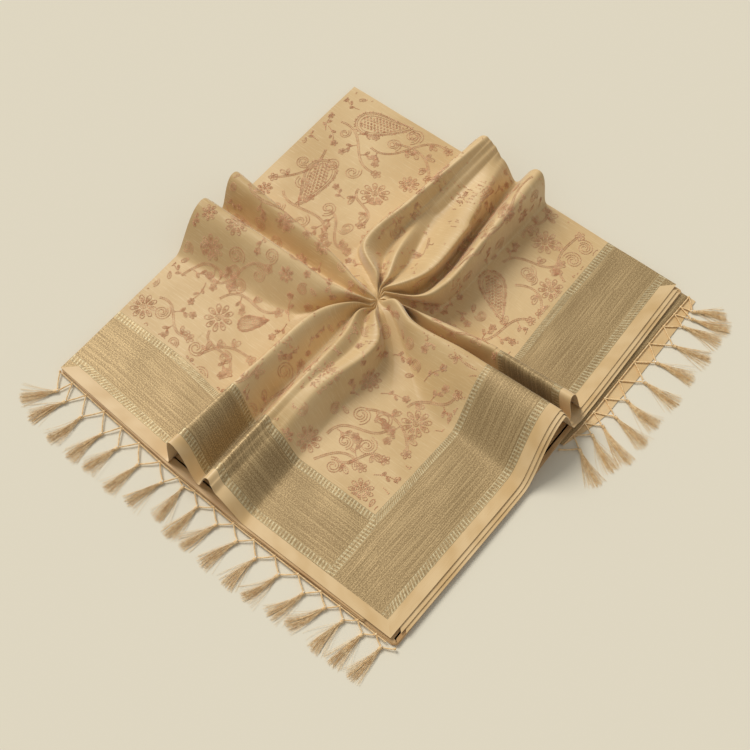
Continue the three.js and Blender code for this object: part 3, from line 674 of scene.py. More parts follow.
class FoldedSurface:
    """The top sheet as a function of turn, counted in fold lines, and depth in from the edge."""

    EDGE_CREST_PULL = 1.35
    CREST_PULL = 0.9
    VALLEY_PULL = 0.75
    REACH = 0.62
    LONGEST = 1.6
    PANEL_FOOT = 0.35
    RISE = 0.15
    EVEN_SPACING = 0.55
    OWN_SPACING = 0.45

    def __init__(self) -> None:
        places = [[line.edge, line.band(), line.middle, line.shoulder, line.neck]
                  for line in FOLD_LINES]
        self.stations = np.array(places, dtype=float)
        self.stations = np.concatenate([self.stations, self._throat()[:, None]], 1)
        self.kinds = [line.kind for line in FOLD_LINES]

    def _throat(self) -> np.ndarray:
        """Spaces the fold lines round the throat's oval."""
        centre = np.array(THROAT_CENTRE)
        neck = self.stations[:, 4, :2] - centre
        angles = np.unwrap(np.arctan2(neck[:, 1], neck[:, 0]))
        even = np.arange(LINE_COUNT) * 2 * math.pi / LINE_COUNT
        even += (angles - even).mean()
        turned = self.EVEN_SPACING * even + self.OWN_SPACING * angles
        turned += THROAT_SWIRL - THROAT_TILT
        along, aside = THROAT_LONG * np.cos(turned), THROAT_SHORT * np.sin(turned)
        x = centre[0] + along * math.cos(THROAT_TILT) - aside * math.sin(THROAT_TILT)
        y = centre[1] + along * math.sin(THROAT_TILT) + aside * math.cos(THROAT_TILT)
        crest = np.array([line.kind is Kind.CREST for line in FOLD_LINES])
        return np.stack([x, y, np.where(crest, THROAT_CREST, THROAT_VALLEY)], -1)

    def runs(self, depths: np.ndarray) -> np.ndarray:
        """Every fold line at the given depths: lines by depths by three."""
        knots = np.array(PLACES)
        last = len(knots) - 1
        slopes = np.diff(self.stations, axis=1) / np.diff(knots)[None, :, None]
        tangents = np.empty_like(self.stations)
        tangents[:, 0], tangents[:, last] = slopes[:, 0], slopes[:, -1]
        for i in range(1, last):
            share = (knots[i + 1] - knots[i]) / (knots[i + 1] - knots[i - 1])
            tangents[:, i] = slopes[:, i - 1] * share + slopes[:, i] * (1 - share)
        index = np.clip(np.searchsorted(knots, depths, side="right") - 1, 0, last - 1)
        length = (knots[index + 1] - knots[index])[None, :, None]
        t = ((depths - knots[index]) / (knots[index + 1] - knots[index]))[None, :, None]
        return cubic(self.stations[:, index], tangents[:, index] * length,
                     self.stations[:, index + 1], tangents[:, index + 1] * length, t)

    def points(self, turns: np.ndarray, depths: np.ndarray) -> np.ndarray:
        """The outer face in millimetres: turns by depths by three."""
        runs = self.runs(np.asarray(depths, dtype=float))
        turns = np.asarray(turns, dtype=float)
        first = np.floor(turns + 1e-9).astype(int)
        t = (turns - first)[:, None, None]
        before, start, end, after = (runs[(first + step) % LINE_COUNT] for step in (-1, 0, 1, 2))
        straight = end - start
        chord = np.linalg.norm(straight, axis=-1, keepdims=True)
        spread = np.linalg.norm(straight[..., :2], axis=-1, keepdims=True)
        near = np.clip(np.asarray(depths, dtype=float) / MIDDLE, 0, 1)
        eases_by = self.CREST_PULL - self.EDGE_CREST_PULL
        crest_pull = self.EDGE_CREST_PULL + eases_by * near**2 * (3 - 2 * near)
        left = [self.kinds[i % LINE_COUNT] for i in first]
        right = [self.kinds[(i + 1) % LINE_COUNT] for i in first]
        is_panel = np.array([Kind.CORNER in pair for pair in zip(left, right)])[:, None, None]

        def pulled(kinds: list[Kind], tangent: np.ndarray) -> np.ndarray:
            """The direction and strength with which the cloth leaves a line."""
            corner = np.array([kind is Kind.CORNER for kind in kinds])[:, None, None]
            tangent = tangent * np.array([1.0, 1.0, self.RISE])
            direction = unit(np.where(corner, straight, tangent))
            crest = np.array([kind is Kind.CREST for kind in kinds])[:, None, None]
            share = np.where(crest, crest_pull[None, :, None], self.VALLEY_PULL)
            flank = np.minimum(share * np.maximum(chord * self.REACH, spread), self.LONGEST * chord)
            panel = chord * np.where(corner, 1.0, self.PANEL_FOOT)
            return direction * np.where(is_panel, panel, flank)

        found = cubic(start, pulled(left, end - before), end, pulled(right, after - start), t)
        found[..., 2] = np.maximum(found[..., 2], FLAT_HEIGHT)
        return found


def turns_between(start: float, end: float, flank: int, panel: int) -> np.ndarray:
    """Turn values between two fold lines.

    Args:
        start: the first turn.
        end: the last turn.
        flank: columns between two lines on a ridge.
        panel: columns between two lines on a flat corner panel.

    Returns:
        The turns in order, both ends included.
    """
    turns = [start]
    for line in range(math.floor(start), math.ceil(end)):
        kinds = (FOLD_LINES[line % LINE_COUNT].kind, FOLD_LINES[(line + 1) % LINE_COUNT].kind)
        columns = panel if Kind.CORNER in kinds else flank
        turns += [line + k / columns for k in range(columns)]
    kept = [turn for turn in turns if start < turn < end - 1e-6]
    return np.array([start, *kept, end])


class ClothPlan:
    """Lays the gathered sheet out flat, so that threads and stitches keep their size on it.

    The sheet is a grid of turns and depths. Its flat place is found by letting a net of springs, as
    long as the cloth is between neighbouring points, settle in the plane with straight cloth edges.
    """

    LEVELS = ((3, 14, 1200), (6, 28, 700), (12, 56, 420))    # columns a line, rows, rounds
    CROWDING = 1.25
    PAST_THROAT = 12.0
    STEP = 1.6

    def __init__(self, surface: FoldedSurface) -> None:
        self.turns: np.ndarray = np.empty(0)
        self.depths: np.ndarray = np.empty(0)
        self.flat: np.ndarray = np.empty((0, 0, 2))
        for columns, rows, rounds in self.LEVELS:
            turns = turns_between(0.0, float(LINE_COUNT), columns, columns)[:-1]
            depths = self._spaced(rows)
            solid = surface.points(turns, depths)
            start = self._first_guess(solid) if not self.flat.size else self.at(turns, depths)
            self.turns, self.depths = turns, depths
            self.flat = self._settle(solid, start, rounds)

    @staticmethod
    def _spaced(rows: int) -> np.ndarray:
        """Depths from the edge to the throat, closer together towards the gather."""
        share = np.linspace(0.0, 1.0, rows)
        return PLACES[-1] * (1 - (1 - share) ** ClothPlan.CROWDING)

    @staticmethod
    def _first_guess(solid: np.ndarray) -> np.ndarray:
        """The rim by its length along the edge, and the rest drawn in towards the middle."""
        rim = solid[:, 0]
        lengths = np.linalg.norm(np.roll(rim, -1, 0) - rim, axis=-1)
        run = np.concatenate([[0.0], np.cumsum(lengths)])
        count = len(rim)
        per_line = count // LINE_COUNT
        corner_turns = (PALLU_BORDER_TURN, BORDER_FAR_TURN, FAR_TURN, PALLU_FAR_TURN)
        corners = [turn * per_line for turn in corner_turns]
        corners.append(count)
        sides = [run[b] - run[a] for a, b in zip(corners[:-1], corners[1:])]
        high, wide = (sides[0] + sides[2]) / 2, (sides[1] + sides[3]) / 2
        places = np.array([[1, -1], [1, 1], [-1, 1], [-1, -1], [1, -1]]) * (wide, high) / 2
        flat_rim = np.empty((count, 2))
        for k in range(4):
            index = np.arange(corners[k], corners[k + 1])
            part = ((run[index] - run[corners[k]]) / sides[k])[:, None]
            flat_rim[index] = places[k] * (1 - part) + places[k + 1] * part
        steps = np.linalg.norm(np.diff(solid, axis=1), axis=-1)
        travelled = np.concatenate([np.zeros((count, 1)), np.cumsum(steps, 1)], 1)
        share = travelled / (travelled[:, -1:] + ClothPlan.PAST_THROAT)
        return flat_rim[:, None] * (1 - share[..., None])

    @staticmethod
    def _settle(solid: np.ndarray, flat: np.ndarray, rounds: int) -> np.ndarray:
        """Moves the points until the springs have their lengths as nearly as they can."""
        shifts = ((1, 0), (0, 1), (1, 1), (1, -1))
        rows = flat.shape[1]
        links = []
        for across, down in shifts:
            low, high = max(0, -down), rows - max(0, down)
            other = np.roll(solid, -across, 0)[:, low + down:high + down]
            rest = np.linalg.norm(other - solid[:, low:high], axis=-1, keepdims=True)
            links.append((across, low, high, down, rest))
        weight = np.zeros(flat.shape[:2] + (1,))
        for across, low, high, down, _rest in links:
            weight[:, low:high] += 1
            weight[:, low + down:high + down] += 1
        rim_sides = ClothPlan._rim_sides(flat)
        for _round in range(rounds):
            move = np.zeros_like(flat)
            for across, low, high, down, rest in links:
                here = flat[:, low:high]
                other = np.roll(flat, -across, 0)[:, low + down:high + down]
                gap = other - here
                length = np.maximum(np.linalg.norm(gap, axis=-1, keepdims=True), 1e-6)
                pull = 0.5 * gap * (1 - rest / length)
                move[:, low:high] += pull
                move[:, low + down:high + down] -= np.roll(pull, across, 0)
            flat = flat + ClothPlan.STEP * move / weight
            for axis, index in rim_sides:
                flat[index, 0, axis] = flat[index, 0, axis].mean()
        return flat

    @staticmethod
    def _rim_sides(flat: np.ndarray) -> list[tuple[int, np.ndarray]]:
        """For each side of the cloth, the axis that stays level along it and its columns."""
        per_line = flat.shape[0] // LINE_COUNT
        turns = np.arange(flat.shape[0]) / per_line
        spans = ((0, PALLU_BORDER_TURN, BORDER_FAR_TURN), (1, BORDER_FAR_TURN, FAR_TURN),
                 (0, FAR_TURN, PALLU_FAR_TURN), (1, PALLU_FAR_TURN, LINE_COUNT))
        return [(axis, np.nonzero((turns >= a) & (turns <= b))[0]) for axis, a, b in spans]

    def at(self, turns: np.ndarray, depths: np.ndarray) -> np.ndarray:
        """The flat place of points of the sheet, in millimetres: turns by depths by two."""
        known = np.concatenate([self.turns, [float(LINE_COUNT)]])
        grid = np.concatenate([self.flat, self.flat[:1]])
        by_depth = np.stack([[np.interp(depths, self.depths, column[:, k]) for k in (0, 1)]
                             for column in grid])
        wrapped = np.mod(np.asarray(turns) + 1e-9, LINE_COUNT)
        out = np.empty((len(wrapped), len(depths), 2))
        index = np.clip(np.searchsorted(known, wrapped, side="right") - 1, 0, len(known) - 2)
        part = ((wrapped - known[index]) / (known[index + 1] - known[index]))[:, None]
        for k in (0, 1):
            out[..., k] = by_depth[index, k] * (1 - part) + by_depth[index + 1, k] * part
        return out


@dataclass(frozen=True)
class Crease:
    """A soft trough or ridge pressed into the cloth: its ends, height and half width."""

    start: Place
    end: Place
    height: float
    half_width: float


@dataclass(frozen=True)
class Stretch:
    """A stretch of the top sheet: its CAD node, its finish and its cut laid flat."""

    node: str
    slot: Slot
    cut: Place


STRETCHES = (
    Stretch("border_edge_strip", Slot.PLAIN, (690.0, STRIP_DEPTH)),
    Stretch("long_border_band", Slot.ZARI, (648.0, ZARI_DEPTH)),
    Stretch("pallu_end_strip", Slot.PLAIN, (580.0, STRIP_DEPTH)),
    Stretch("pallu_zari_band", Slot.ZARI, (500.0, ZARI_DEPTH)),
    Stretch("silk_field", Slot.SILK, (495.0, 562.0)),
)


@dataclass
class TopSheet:
    """The gathered top sheet: its field, and the band and strip of the pallu and the border."""

    WAVES = 14
    WAVE_LENGTHS = (34, 110)
    WAVE_STEEPNESS = 0.0011
    RELIEF_LIMITS = (-0.25, 0.6)
    BOWL_RISE = 3.0

    surface: FoldedSurface
    plan: ClothPlan
    fan_columns: int = 24
    strip_rows: int = 6
    band_rows: int = 26
    ring_rows: tuple[int, ...] = (24, 22, 17, 15)
    bowl_rows: int = 5
    creases: tuple[Crease, ...] = (
        Crease((150, 203), (246, 199), 0.35, 2.2),
        Crease((20, 96), (92, 108), 0.4, 3.0),
        Crease((-235, 150), (-120, 143), 0.3, 3.5),
        Crease((100, -240), (104, -150), 0.25, 3.0),
        Crease((-236, -150), (-120, -128), 0.3, 3.5),
        Crease((170, -262), (172, -90), 0.25, 2.5),
    )

    def turns(self, start: float, end: float) -> np.ndarray:
        """Turns of the fine columns between two fold lines."""
        return turns_between(start, end, FLANK_COLUMNS, PANEL_COLUMNS)

    def relief(self, points: np.ndarray, flat: np.ndarray) -> np.ndarray:
        """Adds the slight waviness and the pressed creases of real cloth.

        Args:
            points: the outer face in millimetres.
            flat: the same points on the flat cloth.

        Returns:
            The points, moved along their upward side.
        """
        rng = np.random.default_rng(7)
        height = np.zeros(points.shape[:2])
        for _wave in range(self.WAVES):
            angle = rng.uniform(0, math.pi)
            length = rng.uniform(*self.WAVE_LENGTHS)
            turned = flat[..., 0] * math.cos(angle) + flat[..., 1] * math.sin(angle)
            phase = 2 * math.pi * turned / length + rng.uniform(0, 2 * math.pi)
            height += self.WAVE_STEEPNESS * length * np.sin(phase)
        for crease in self.creases:
            a, b = np.array(crease.start, float), np.array(crease.end, float)
            run = b - a
            along = ((points[..., :2] - a) @ run) / (run @ run)
            nearest = a + np.clip(along, 0, 1)[..., None] * run
            away = np.linalg.norm(points[..., :2] - nearest, axis=-1)
            height += crease.height * np.exp(-((away / crease.half_width) ** 2))
        moved = points.copy()
        moved[..., 2] += np.clip(height, *self.RELIEF_LIMITS)
        return moved

    def grid(self, turns: np.ndarray, depths: np.ndarray) -> Grid:
        """A stretch of the sheet with its UV maps."""
        flat = self.plan.at(turns, depths)
        points = self.relief(self.surface.points(turns, depths), flat)
        first_row = flat[:, :1] * np.ones((1, len(depths), 1))
        along = np.where(self._is_upright(turns)[:, None], first_row[..., 1], first_row[..., 0])
        band = np.stack([along, np.broadcast_to(depths, along.shape)], -1)
        return points, {"cloth": flat, "band": band}

    @staticmethod
    def _is_upright(turns: np.ndarray) -> np.ndarray:
        """Whether a turn is on the side of the long border or the fold opposite."""
        on_border = turns < BORDER_FAR_TURN + 1e-6
        return on_border | ((turns >= FAR_TURN) & (turns < PALLU_FAR_TURN - 1e-6))

    def corner(self, turn: int, upright: bool, depths: np.ndarray) -> Grid:
        """The flat corner of a band, from its mitre line to a straight seam.

        Args:
            turn: the corner's fold line.
            upright: True for the long border, whose seam runs along Y.
            depths: rows in from the edge.
        """
        mitre = self.surface.points(np.array([turn]), depths)[0]
        seam = self._seam(turn, upright, depths)
        seam[:, 2] = mitre[:, 2]
        return self._flat_stretch(mitre, seam, self.fan_columns, turn, 0 if upright else 1)

    def reversed_corner(self, turn: int, upright: bool, depths: np.ndarray) -> Grid:
        """The same corner with its columns in the other order, for a seam that comes first."""
        points, maps = self.corner(turn, upright, depths)
        return points[::-1], {key: values[::-1] for key, values in maps.items()}

    def _panel(self, line: int, turn: int, upright: bool, depths: np.ndarray) -> Grid:
        """The flat panel between a ridge's foot and the straight seam at a corner.

        Args:
            line: the fold line of the ridge's foot, one before or after the corner.
            turn: the corner's fold line.
            upright: True where the seam runs along Y.
            depths: rows in from the edge.
        """
        foot = self.surface.points(np.array([line]), depths)[0]
        seam = self._seam(turn, upright, depths)
        foot_first = line < turn or turn == 0
        ends = (foot, seam) if foot_first else (seam, foot)
        return self._flat_stretch(*ends, PANEL_COLUMNS, turn, 1 if upright else 0)

    def _seam(self, turn: int, upright: bool, depths: np.ndarray) -> np.ndarray:
        """The straight seam at a corner, from the edge to the end of the band."""
        edge, band = self.surface.stations[turn, 0], self.surface.stations[turn, 1]
        start = edge.copy()
        axis = 0 if upright else 1
        start[axis] = band[axis]
        share = (depths / BAND_DEPTH)[:, None]
        return start * (1 - share) + band * share

    def _flat_stretch(self, first: np.ndarray, last: np.ndarray, columns: int, turn: int,
                      axis: int) -> Grid:
        """A flat stretch between two columns of points, its plan measured from a corner.

        Args:
            first: the points of the first column.
            last: the points of the last column.
            columns: steps from one to the other.
            turn: the corner's fold line.
            axis: the axis along which its depth is measured.
        """
        part = np.linspace(0.0, 1.0, columns + 1)[:, None, None]
        points = first[None] * (1 - part) + last[None] * part
        edge = self.surface.stations[turn, 0]
        here = self.plan.at(np.array([turn]), np.array([0.0]))[0, 0]
        flat = here + points[..., :2] - edge[:2]
        points = self.relief(points, flat)
        depth = np.abs(points[..., axis] - edge[axis])
        return points, {"cloth": flat, "band": np.stack([flat[..., 1 - axis], depth], -1)}

    def _field(self, rim: np.ndarray) -> list[tuple]:
        """The field's grids: rings round the gather, the two folded sides, and the bowl."""
        rings = [np.linspace(start, end, rows, endpoint=False)
                 for start, end, rows in zip(PLACES[1:], PLACES[2:], self.ring_rows)]
        turns = self.turns(0.0, float(LINE_COUNT))[:-1]
        points, maps = self.grid(turns, np.concatenate([*rings, [THROAT]]))
        centre = np.array([*THROAT_CENTRE, THROAT_FLOOR])
        part = np.linspace(0.0, 1.0, self.bowl_rows + 1)[None, :, None]
        bowl = points[:, -1:] * (1 - part) + centre * part
        bowl[..., 2] += self.BOWL_RISE * (part * (1 - part))[..., 0]
        flat = maps["cloth"][:, -1:] * (1 - part)
        folded_sides = self.turns(BORDER_FAR_TURN + 1, PALLU_FAR_TURN - 1)
        return [
            (points, maps, True),
            self._panel(BORDER_FAR_TURN + 1, BORDER_FAR_TURN, True, rim),
            self.grid(folded_sides, rim),
            self._panel(PALLU_FAR_TURN - 1, PALLU_FAR_TURN, False, rim),
            (bowl, {"cloth": flat, "band": flat}, True),
        ]

    def build(self, wardrobe: Wardrobe) -> None:
        """Builds and dresses the five stretches."""
        strip = np.linspace(0.0, STRIP_DEPTH, self.strip_rows + 1)
        band = np.linspace(STRIP_DEPTH, BAND_DEPTH, self.band_rows + 1)
        rim = np.concatenate([strip[:-1], band])
        border = self.turns(PALLU_BORDER_TURN, BORDER_FAR_TURN)
        pallu_foot = LINE_COUNT - 1
        grids = {
            "border_edge_strip": [self.grid(border, strip)],
            "long_border_band": [
                self.grid(border, band),
                self.reversed_corner(PALLU_BORDER_TURN, True, band),
                self.corner(BORDER_FAR_TURN, True, rim),
            ],
            "pallu_end_strip": [self.grid(self.turns(PALLU_FAR_TURN, LINE_COUNT), strip)],
            "pallu_zari_band": [
                self.grid(self.turns(PALLU_FAR_TURN, pallu_foot), band),
                self._panel(pallu_foot, PALLU_BORDER_TURN, True, band),
                self.reversed_corner(PALLU_FAR_TURN, False, rim),
            ],
            "silk_field": self._field(rim),
        }
        for stretch in STRETCHES:
            shell = ShellMesh(stretch.node)
            for grid in grids[stretch.node]:
                shell.add_grid(*grid)
            piece = shell.build()
            wardrobe.dress(piece, stretch.slot, (stretch.node,))


# ------------------------------------------------------------------ repeated things
class NodeTree(NodeWriter):
    """A Geometry Nodes tree that takes a mesh and ends in Realize Instances and Set Material.

    Args:
        name: the tree's name.
        inputs: socket types of its named inputs.
    """

    def __init__(self, name: str, inputs: dict[str, str]) -> None:
        super().__init__(bpy.data.node_groups.new(name, "GeometryNodeTree"))
        self._socket("Geometry", "NodeSocketGeometry")
        self._socket("Geometry", "NodeSocketGeometry", "OUTPUT")
        for key, kind in {**inputs, "Material": "NodeSocketMaterial"}.items():
            self._socket(key, kind)
        self.source = self.tree.nodes.new("NodeGroupInput").outputs

    def _socket(self, name: str, kind: str, end: str = "INPUT") -> None:
        """Adds an input or output of the whole tree."""
        self.tree.interface.new_socket(name, in_out=end, socket_type=kind)

    def attribute(self, name: str, kind: str) -> bpy.types.NodeSocket:
        """A named attribute of the source mesh."""
        node = self.node("GeometryNodeInputNamedAttribute", {"Name": name}, data_type=kind)
        return node.outputs[0]

    def close(self, geometry: bpy.types.NodeSocket) -> None:
        """Shades the geometry smooth and ends the tree."""
        inputs = {"Geometry": geometry, "Shade Smooth": True}
        smooth = self.node("GeometryNodeSetShadeSmooth", inputs)
        real = self.node("GeometryNodeRealizeInstances", {"Geometry": smooth.outputs[0]})
        inputs = {"Geometry": real.outputs[0], "Material": self.source["Material"]}
        dressed = self.node("GeometryNodeSetMaterial", inputs)
        self.node("NodeGroupOutput", {0: dressed.outputs[0]})

    def grow(self, name: str, mesh: bpy.types.Mesh, values: dict[str, object]) -> bpy.types.Object:
        """Runs the tree on a mesh.

        Args:
            name: the new piece's name.
            mesh: the source mesh with its attributes, removed afterwards.
            values: the tree's inputs by name.

        Returns:
            The piece, with the result as its own mesh.
        """
        source = object_from(name + "_source", mesh)
        modifier = source.modifiers.new("grow", "NODES")
        modifier.node_group = self.tree
        for item in self.tree.interface.items_tree:
            if item.in_out == "INPUT" and item.name in values:
                modifier[item.identifier] = values[item.name]
        grown = evaluated_mesh(source)
        bpy.data.objects.remove(source)
        bpy.data.meshes.remove(mesh)
        grown.name = name
        return object_from(name, grown)


def cord_tree() -> NodeTree:
    """Sweeps a round section along each polyline, as thick as its attribute says."""
    made = NodeTree("swept cords", {"Sides": "NodeSocketInt", "Thickness": "NodeSocketFloat"})
    curve = made.node("GeometryNodeMeshToCurve", {"Mesh": made.source["Geometry"]})
    inputs = {0: made.attribute("radius", "FLOAT"), 1: made.source["Thickness"]}
    thick = made.node("ShaderNodeMath", inputs, operation="MULTIPLY")
    inputs = {"Resolution": made.source["Sides"], "Radius": 1.0}
    profile = made.node("GeometryNodeCurvePrimitiveCircle", inputs)
    inputs = {"Curve": curve.outputs[0], "Profile Curve": profile.outputs[0],
              "Scale": thick.outputs[0], "Fill Caps": True}
    made.close(made.node("GeometryNodeCurveToMesh", inputs).outputs[0])
    return made


def scatter_tree() -> NodeTree:
    """Places an item at every point, turned and sized as the point's attributes say."""
    made = NodeTree("scattered items", {"Item": "NodeSocketObject"})
    item = made.node("GeometryNodeObjectInfo", {"Object": made.source["Item"]})
    facing = made.attribute("facing", "FLOAT_VECTOR")
    turn = made.node("FunctionNodeEulerToRotation", {"Euler": facing})
    inputs = {"Points": made.source["Geometry"], "Instance": item.outputs["Geometry"],
              "Rotation": turn.outputs[0], "Scale": made.attribute("size", "FLOAT_VECTOR")}
    made.close(made.node("GeometryNodeInstanceOnPoints", inputs).outputs[0])
    return made


@dataclass
class Threads:
    """Polylines with a radius at each point, to be swept as cords. Lengths are millimetres."""

    lines: list[np.ndarray] = field(default_factory=list)
    radii: list[np.ndarray] = field(default_factory=list)

    def add(self, points: np.ndarray, radius: float | np.ndarray) -> None:
        """Adds one line."""
        self.lines.append(points)
        self.radii.append(np.broadcast_to(radius, len(points)))

    def twist(self, path: np.ndarray, radius: float, pitch: float = 2.6, plies: int = 2) -> None:
        """Adds a cord of twisted plies along a path."""
        run = run_of(path)
        s = np.linspace(0, run[-1], max(8, int(run[-1] / pitch * 8)))
        centre = resampled(path, run, s)
        forward = unit(np.gradient(centre, axis=0))
        aside = sideways(forward)
        up = np.cross(forward, aside)
        for ply in range(plies):
            angle = (2 * math.pi * s / pitch + 2 * math.pi * ply / plies)[:, None]
            ring = aside * np.cos(angle) + up * np.sin(angle)
            self.add(centre + ring * radius * 0.5, radius * 0.62)

    def coil(self, centre: np.ndarray, forward: np.ndarray, length: float, radius: float,
             turns: float, thread: float) -> None:
        """Adds a wrapping of thread round an axis."""
        t = np.linspace(0, 1, int(turns * 11))[:, None]
        forward = unit(forward)
        aside = sideways(forward)
        up = np.cross(forward, aside)
        angle = 2 * math.pi * turns * t
        bulge = radius * (0.8 + 0.2 * np.sin(math.pi * t))
        ring = (aside * np.cos(angle) + up * np.sin(angle)) * bulge
        self.add(centre + forward * (t - 0.5) * length + ring, thread)

    def mesh(self, name: str) -> bpy.types.Mesh:
        """The lines as a mesh of edges with a radius attribute."""
        made = bpy.data.meshes.new(name)
        starts = np.cumsum([0] + [len(line) for line in self.lines])
        edges = [np.stack([np.arange(a, b - 1), np.arange(a + 1, b)], -1)
                 for a, b in zip(starts[:-1], starts[1:])]
        points = np.concatenate(self.lines) * MM
        made.from_pydata(points.tolist(), np.concatenate(edges).tolist(), [])
        layer = made.attributes.new("radius", "FLOAT", "POINT")
        layer.data.foreach_set("value", (np.concatenate(self.radii) * MM).astype(np.float32))
        return made


# ------------------------------------------------------------------ folds below the top sheet
@dataclass(frozen=True)
class LowerBorderFold:
    """A fold of the border under the top one: over the ridge with it, then flat under the roll."""

    PROBE = 0.04
    WAVE = 0.25
    WAVE_RATE = 2.1

    name: str
    level: int
    past: float
    start: float
    end: float
    depth: float = 30.0
    leaves: float = 3.0
    meets: float = 5.0
    level_run: float = 0.7

    def path(self, surface: FoldedSurface, turns: np.ndarray, depths: np.ndarray) -> np.ndarray:
        """The top sheet's face, but straight across below the roll."""
        points = surface.points(turns, depths)
        start, end = surface.points(np.array([self.leaves, self.meets]), depths)
        along = np.clip((turns - self.leaves) / (self.meets - self.leaves), 0, 1)[:, None, None]
        below = start * (1 - along) + end * along
        eased = np.clip(along[..., 0] / self.level_run, 0, 1)
        eased = eased * eased * (3 - 2 * eased)
        below[..., 2] = start[:, 2] * (1 - eased) + end[:, 2] * eased
        under = ((turns > self.leaves) & (turns < self.meets))[:, None, None]
        return np.where(under, below, points)

    def build(self, surface: FoldedSurface, wardrobe: Wardrobe) -> None:
        """Builds and dresses the fold."""
        turns = turns_between(self.start, self.end, FLANK_COLUMNS, PANEL_COLUMNS)
        rows = np.concatenate([[-self.past], np.linspace(0, self.depth, 9)])
        step = self.PROBE
        along = self.path(surface, turns + step, rows) - self.path(surface, turns - step, rows)
        inward = self.path(surface, turns, rows + 1.0) - self.path(surface, turns, rows - 1.0)
        out = unit(np.cross(along, inward))
        wave = self.WAVE * np.sin(turns * self.WAVE_RATE + self.level)[:, None, None]
        points = self.path(surface, turns, rows) - out * (self.level * LAYER_PITCH + wave)
        run = run_of(points[:, 1])
        band = np.stack(np.meshgrid(run, rows, indexing="ij"), -1)
        shell = ShellMesh(self.name, SHELL)
        shell.add_grid(points, {"band": band})
        piece = shell.build()
        wardrobe.dress(piece, Slot.PLAIN, (self.name,))


@dataclass(frozen=True)
class FoldedEdge:
    """One fold of the packet below the top sheet: how far it stands out, and its border edge."""

    base: float
    stand_out: float
    border_edge: float


@dataclass
class FoldedLayers:
    """The folds of the packet that the top sheet lies on, each with a round nose at its edge."""

    WAVE = 0.16
    SET_BACK = 0.3
    TUCKED_IN = 6
    RING_RUN = 0.4

    west: float = -250.0
    far: float = 272.0
    pallu_edge: tuple[Place, ...] = ((-250, -268), (-72, -281), (45, -285))
    pallu_end: float = -285.0
    corner_round: float = 5.0
    nose: float = 0.72
    edges: tuple[FoldedEdge, ...] = (
        FoldedEdge(0.0, 0.0, 255), FoldedEdge(0.75, 0.8, 254.2), FoldedEdge(1.5, 1.5, 253.6),
        FoldedEdge(2.25, 0.6, 254), FoldedEdge(3.0, 0.5, 256), FoldedEdge(3.75, -0.4, 255.2),
        FoldedEdge(4.5, 1.5, 214), FoldedEdge(5.25, 0.6, 213.4), FoldedEdge(6.0, 0.0, 214),
        FoldedEdge(6.75, 0.9, 213),
    )

    def outline(self, edge: FoldedEdge) -> np.ndarray:
        """The outline of a fold with rounded corners, anticlockwise."""
        out = edge.stand_out
        corners = [(x - out if x == self.west else x, y - out) for x, y in self.pallu_edge]
        corners += [(edge.border_edge, self.pallu_end - out), (edge.border_edge, self.far + out),
                    (self.west - out, self.far + out)]
        corners = np.array(corners, dtype=float)
        points = []
        for k, corner in enumerate(corners):
            before = unit(corners[k - 1] - corner) * self.corner_round
            after_corner = corners[(k + 1) % len(corners)]
            after = unit(after_corner - corner) * self.corner_round
            for t in np.linspace(0, 1, 6):
                points.append(corner + before * (1 - t) ** 2 + after * t**2)
            span = np.linalg.norm(after_corner - corner)
            for t in np.arange(self.corner_round + 8, span - self.corner_round - 4, 8):
                points.append(corner + (after_corner - corner) * t / span)
        return np.array(points)

    def build(self, wardrobe: Wardrobe) -> None:
        """Builds and dresses the stack as one piece."""
        rng = np.random.default_rng(11)
        mesh = bpy.data.meshes.new("folded_layers")
        with edited(mesh) as shell:
            uv = shell.loops.layers.uv.new("band")
            for edge in self.edges:
                outline = self.outline(edge)
                run = run_of(outline)
                wave = sum(self.WAVE * np.sin(run * rng.uniform(0.02, 0.09) + rng.uniform(0, 6))
                           for _ in range(4))
                self._loft(shell, uv, self._rings(edge, outline, wave), run)
        mesh.shade_smooth()
        piece = object_from("packet_folds", mesh)
        wardrobe.dress(piece, Slot.FOLDED, ("folded_layers",))

    def _rings(self, edge: FoldedEdge, outline: np.ndarray, wave: np.ndarray) -> np.ndarray:
        """Rings round a fold, from its underside over the round nose to its top."""
        ahead = unit(np.roll(outline, -1, 0) - np.roll(outline, 1, 0))
        outward = np.stack([ahead[:, 1], -ahead[:, 0]], -1)
        rings = []
        for turn in np.linspace(-90, 90, 7):
            a = math.radians(turn)
            reach = self.nose * 0.5 * (math.cos(a) - 1) + wave - self.SET_BACK
            height = edge.base + self.nose * 0.5 * (1 + math.sin(a))
            level = np.full((len(outline), 1), height)
            rings.append(np.concatenate([outline + outward * reach[:, None], level], -1))
        for side in (0, -1):
            inner = rings[side].copy()
            inner[:, :2] -= outward * self.TUCKED_IN
            rings.insert(0 if side == 0 else len(rings), inner)
        return np.array(rings)

    def _loft(self, shell: bmesh.types.BMesh, uv: object, rings: np.ndarray,
              run: np.ndarray) -> None:
        """Joins rings from the underside to the top and closes both ends."""
        verts = [[shell.verts.new(point * MM) for point in ring] for ring in rings]
        count = len(run)
        for low in range(len(rings) - 1):
            for k in range(count):
                after = (k + 1) % count
                places = ((k, low), (after, low), (after, low + 1), (k, low + 1))
                face = shell.faces.new([verts[ring][column] for column, ring in places])
                for loop, (column, ring) in zip(face.loops, places):
                    loop[uv].uv = (run[column] * MM, ring * self.RING_RUN * MM)
        shell.faces.new(list(reversed(verts[0])))
        shell.faces.new(verts[-1])


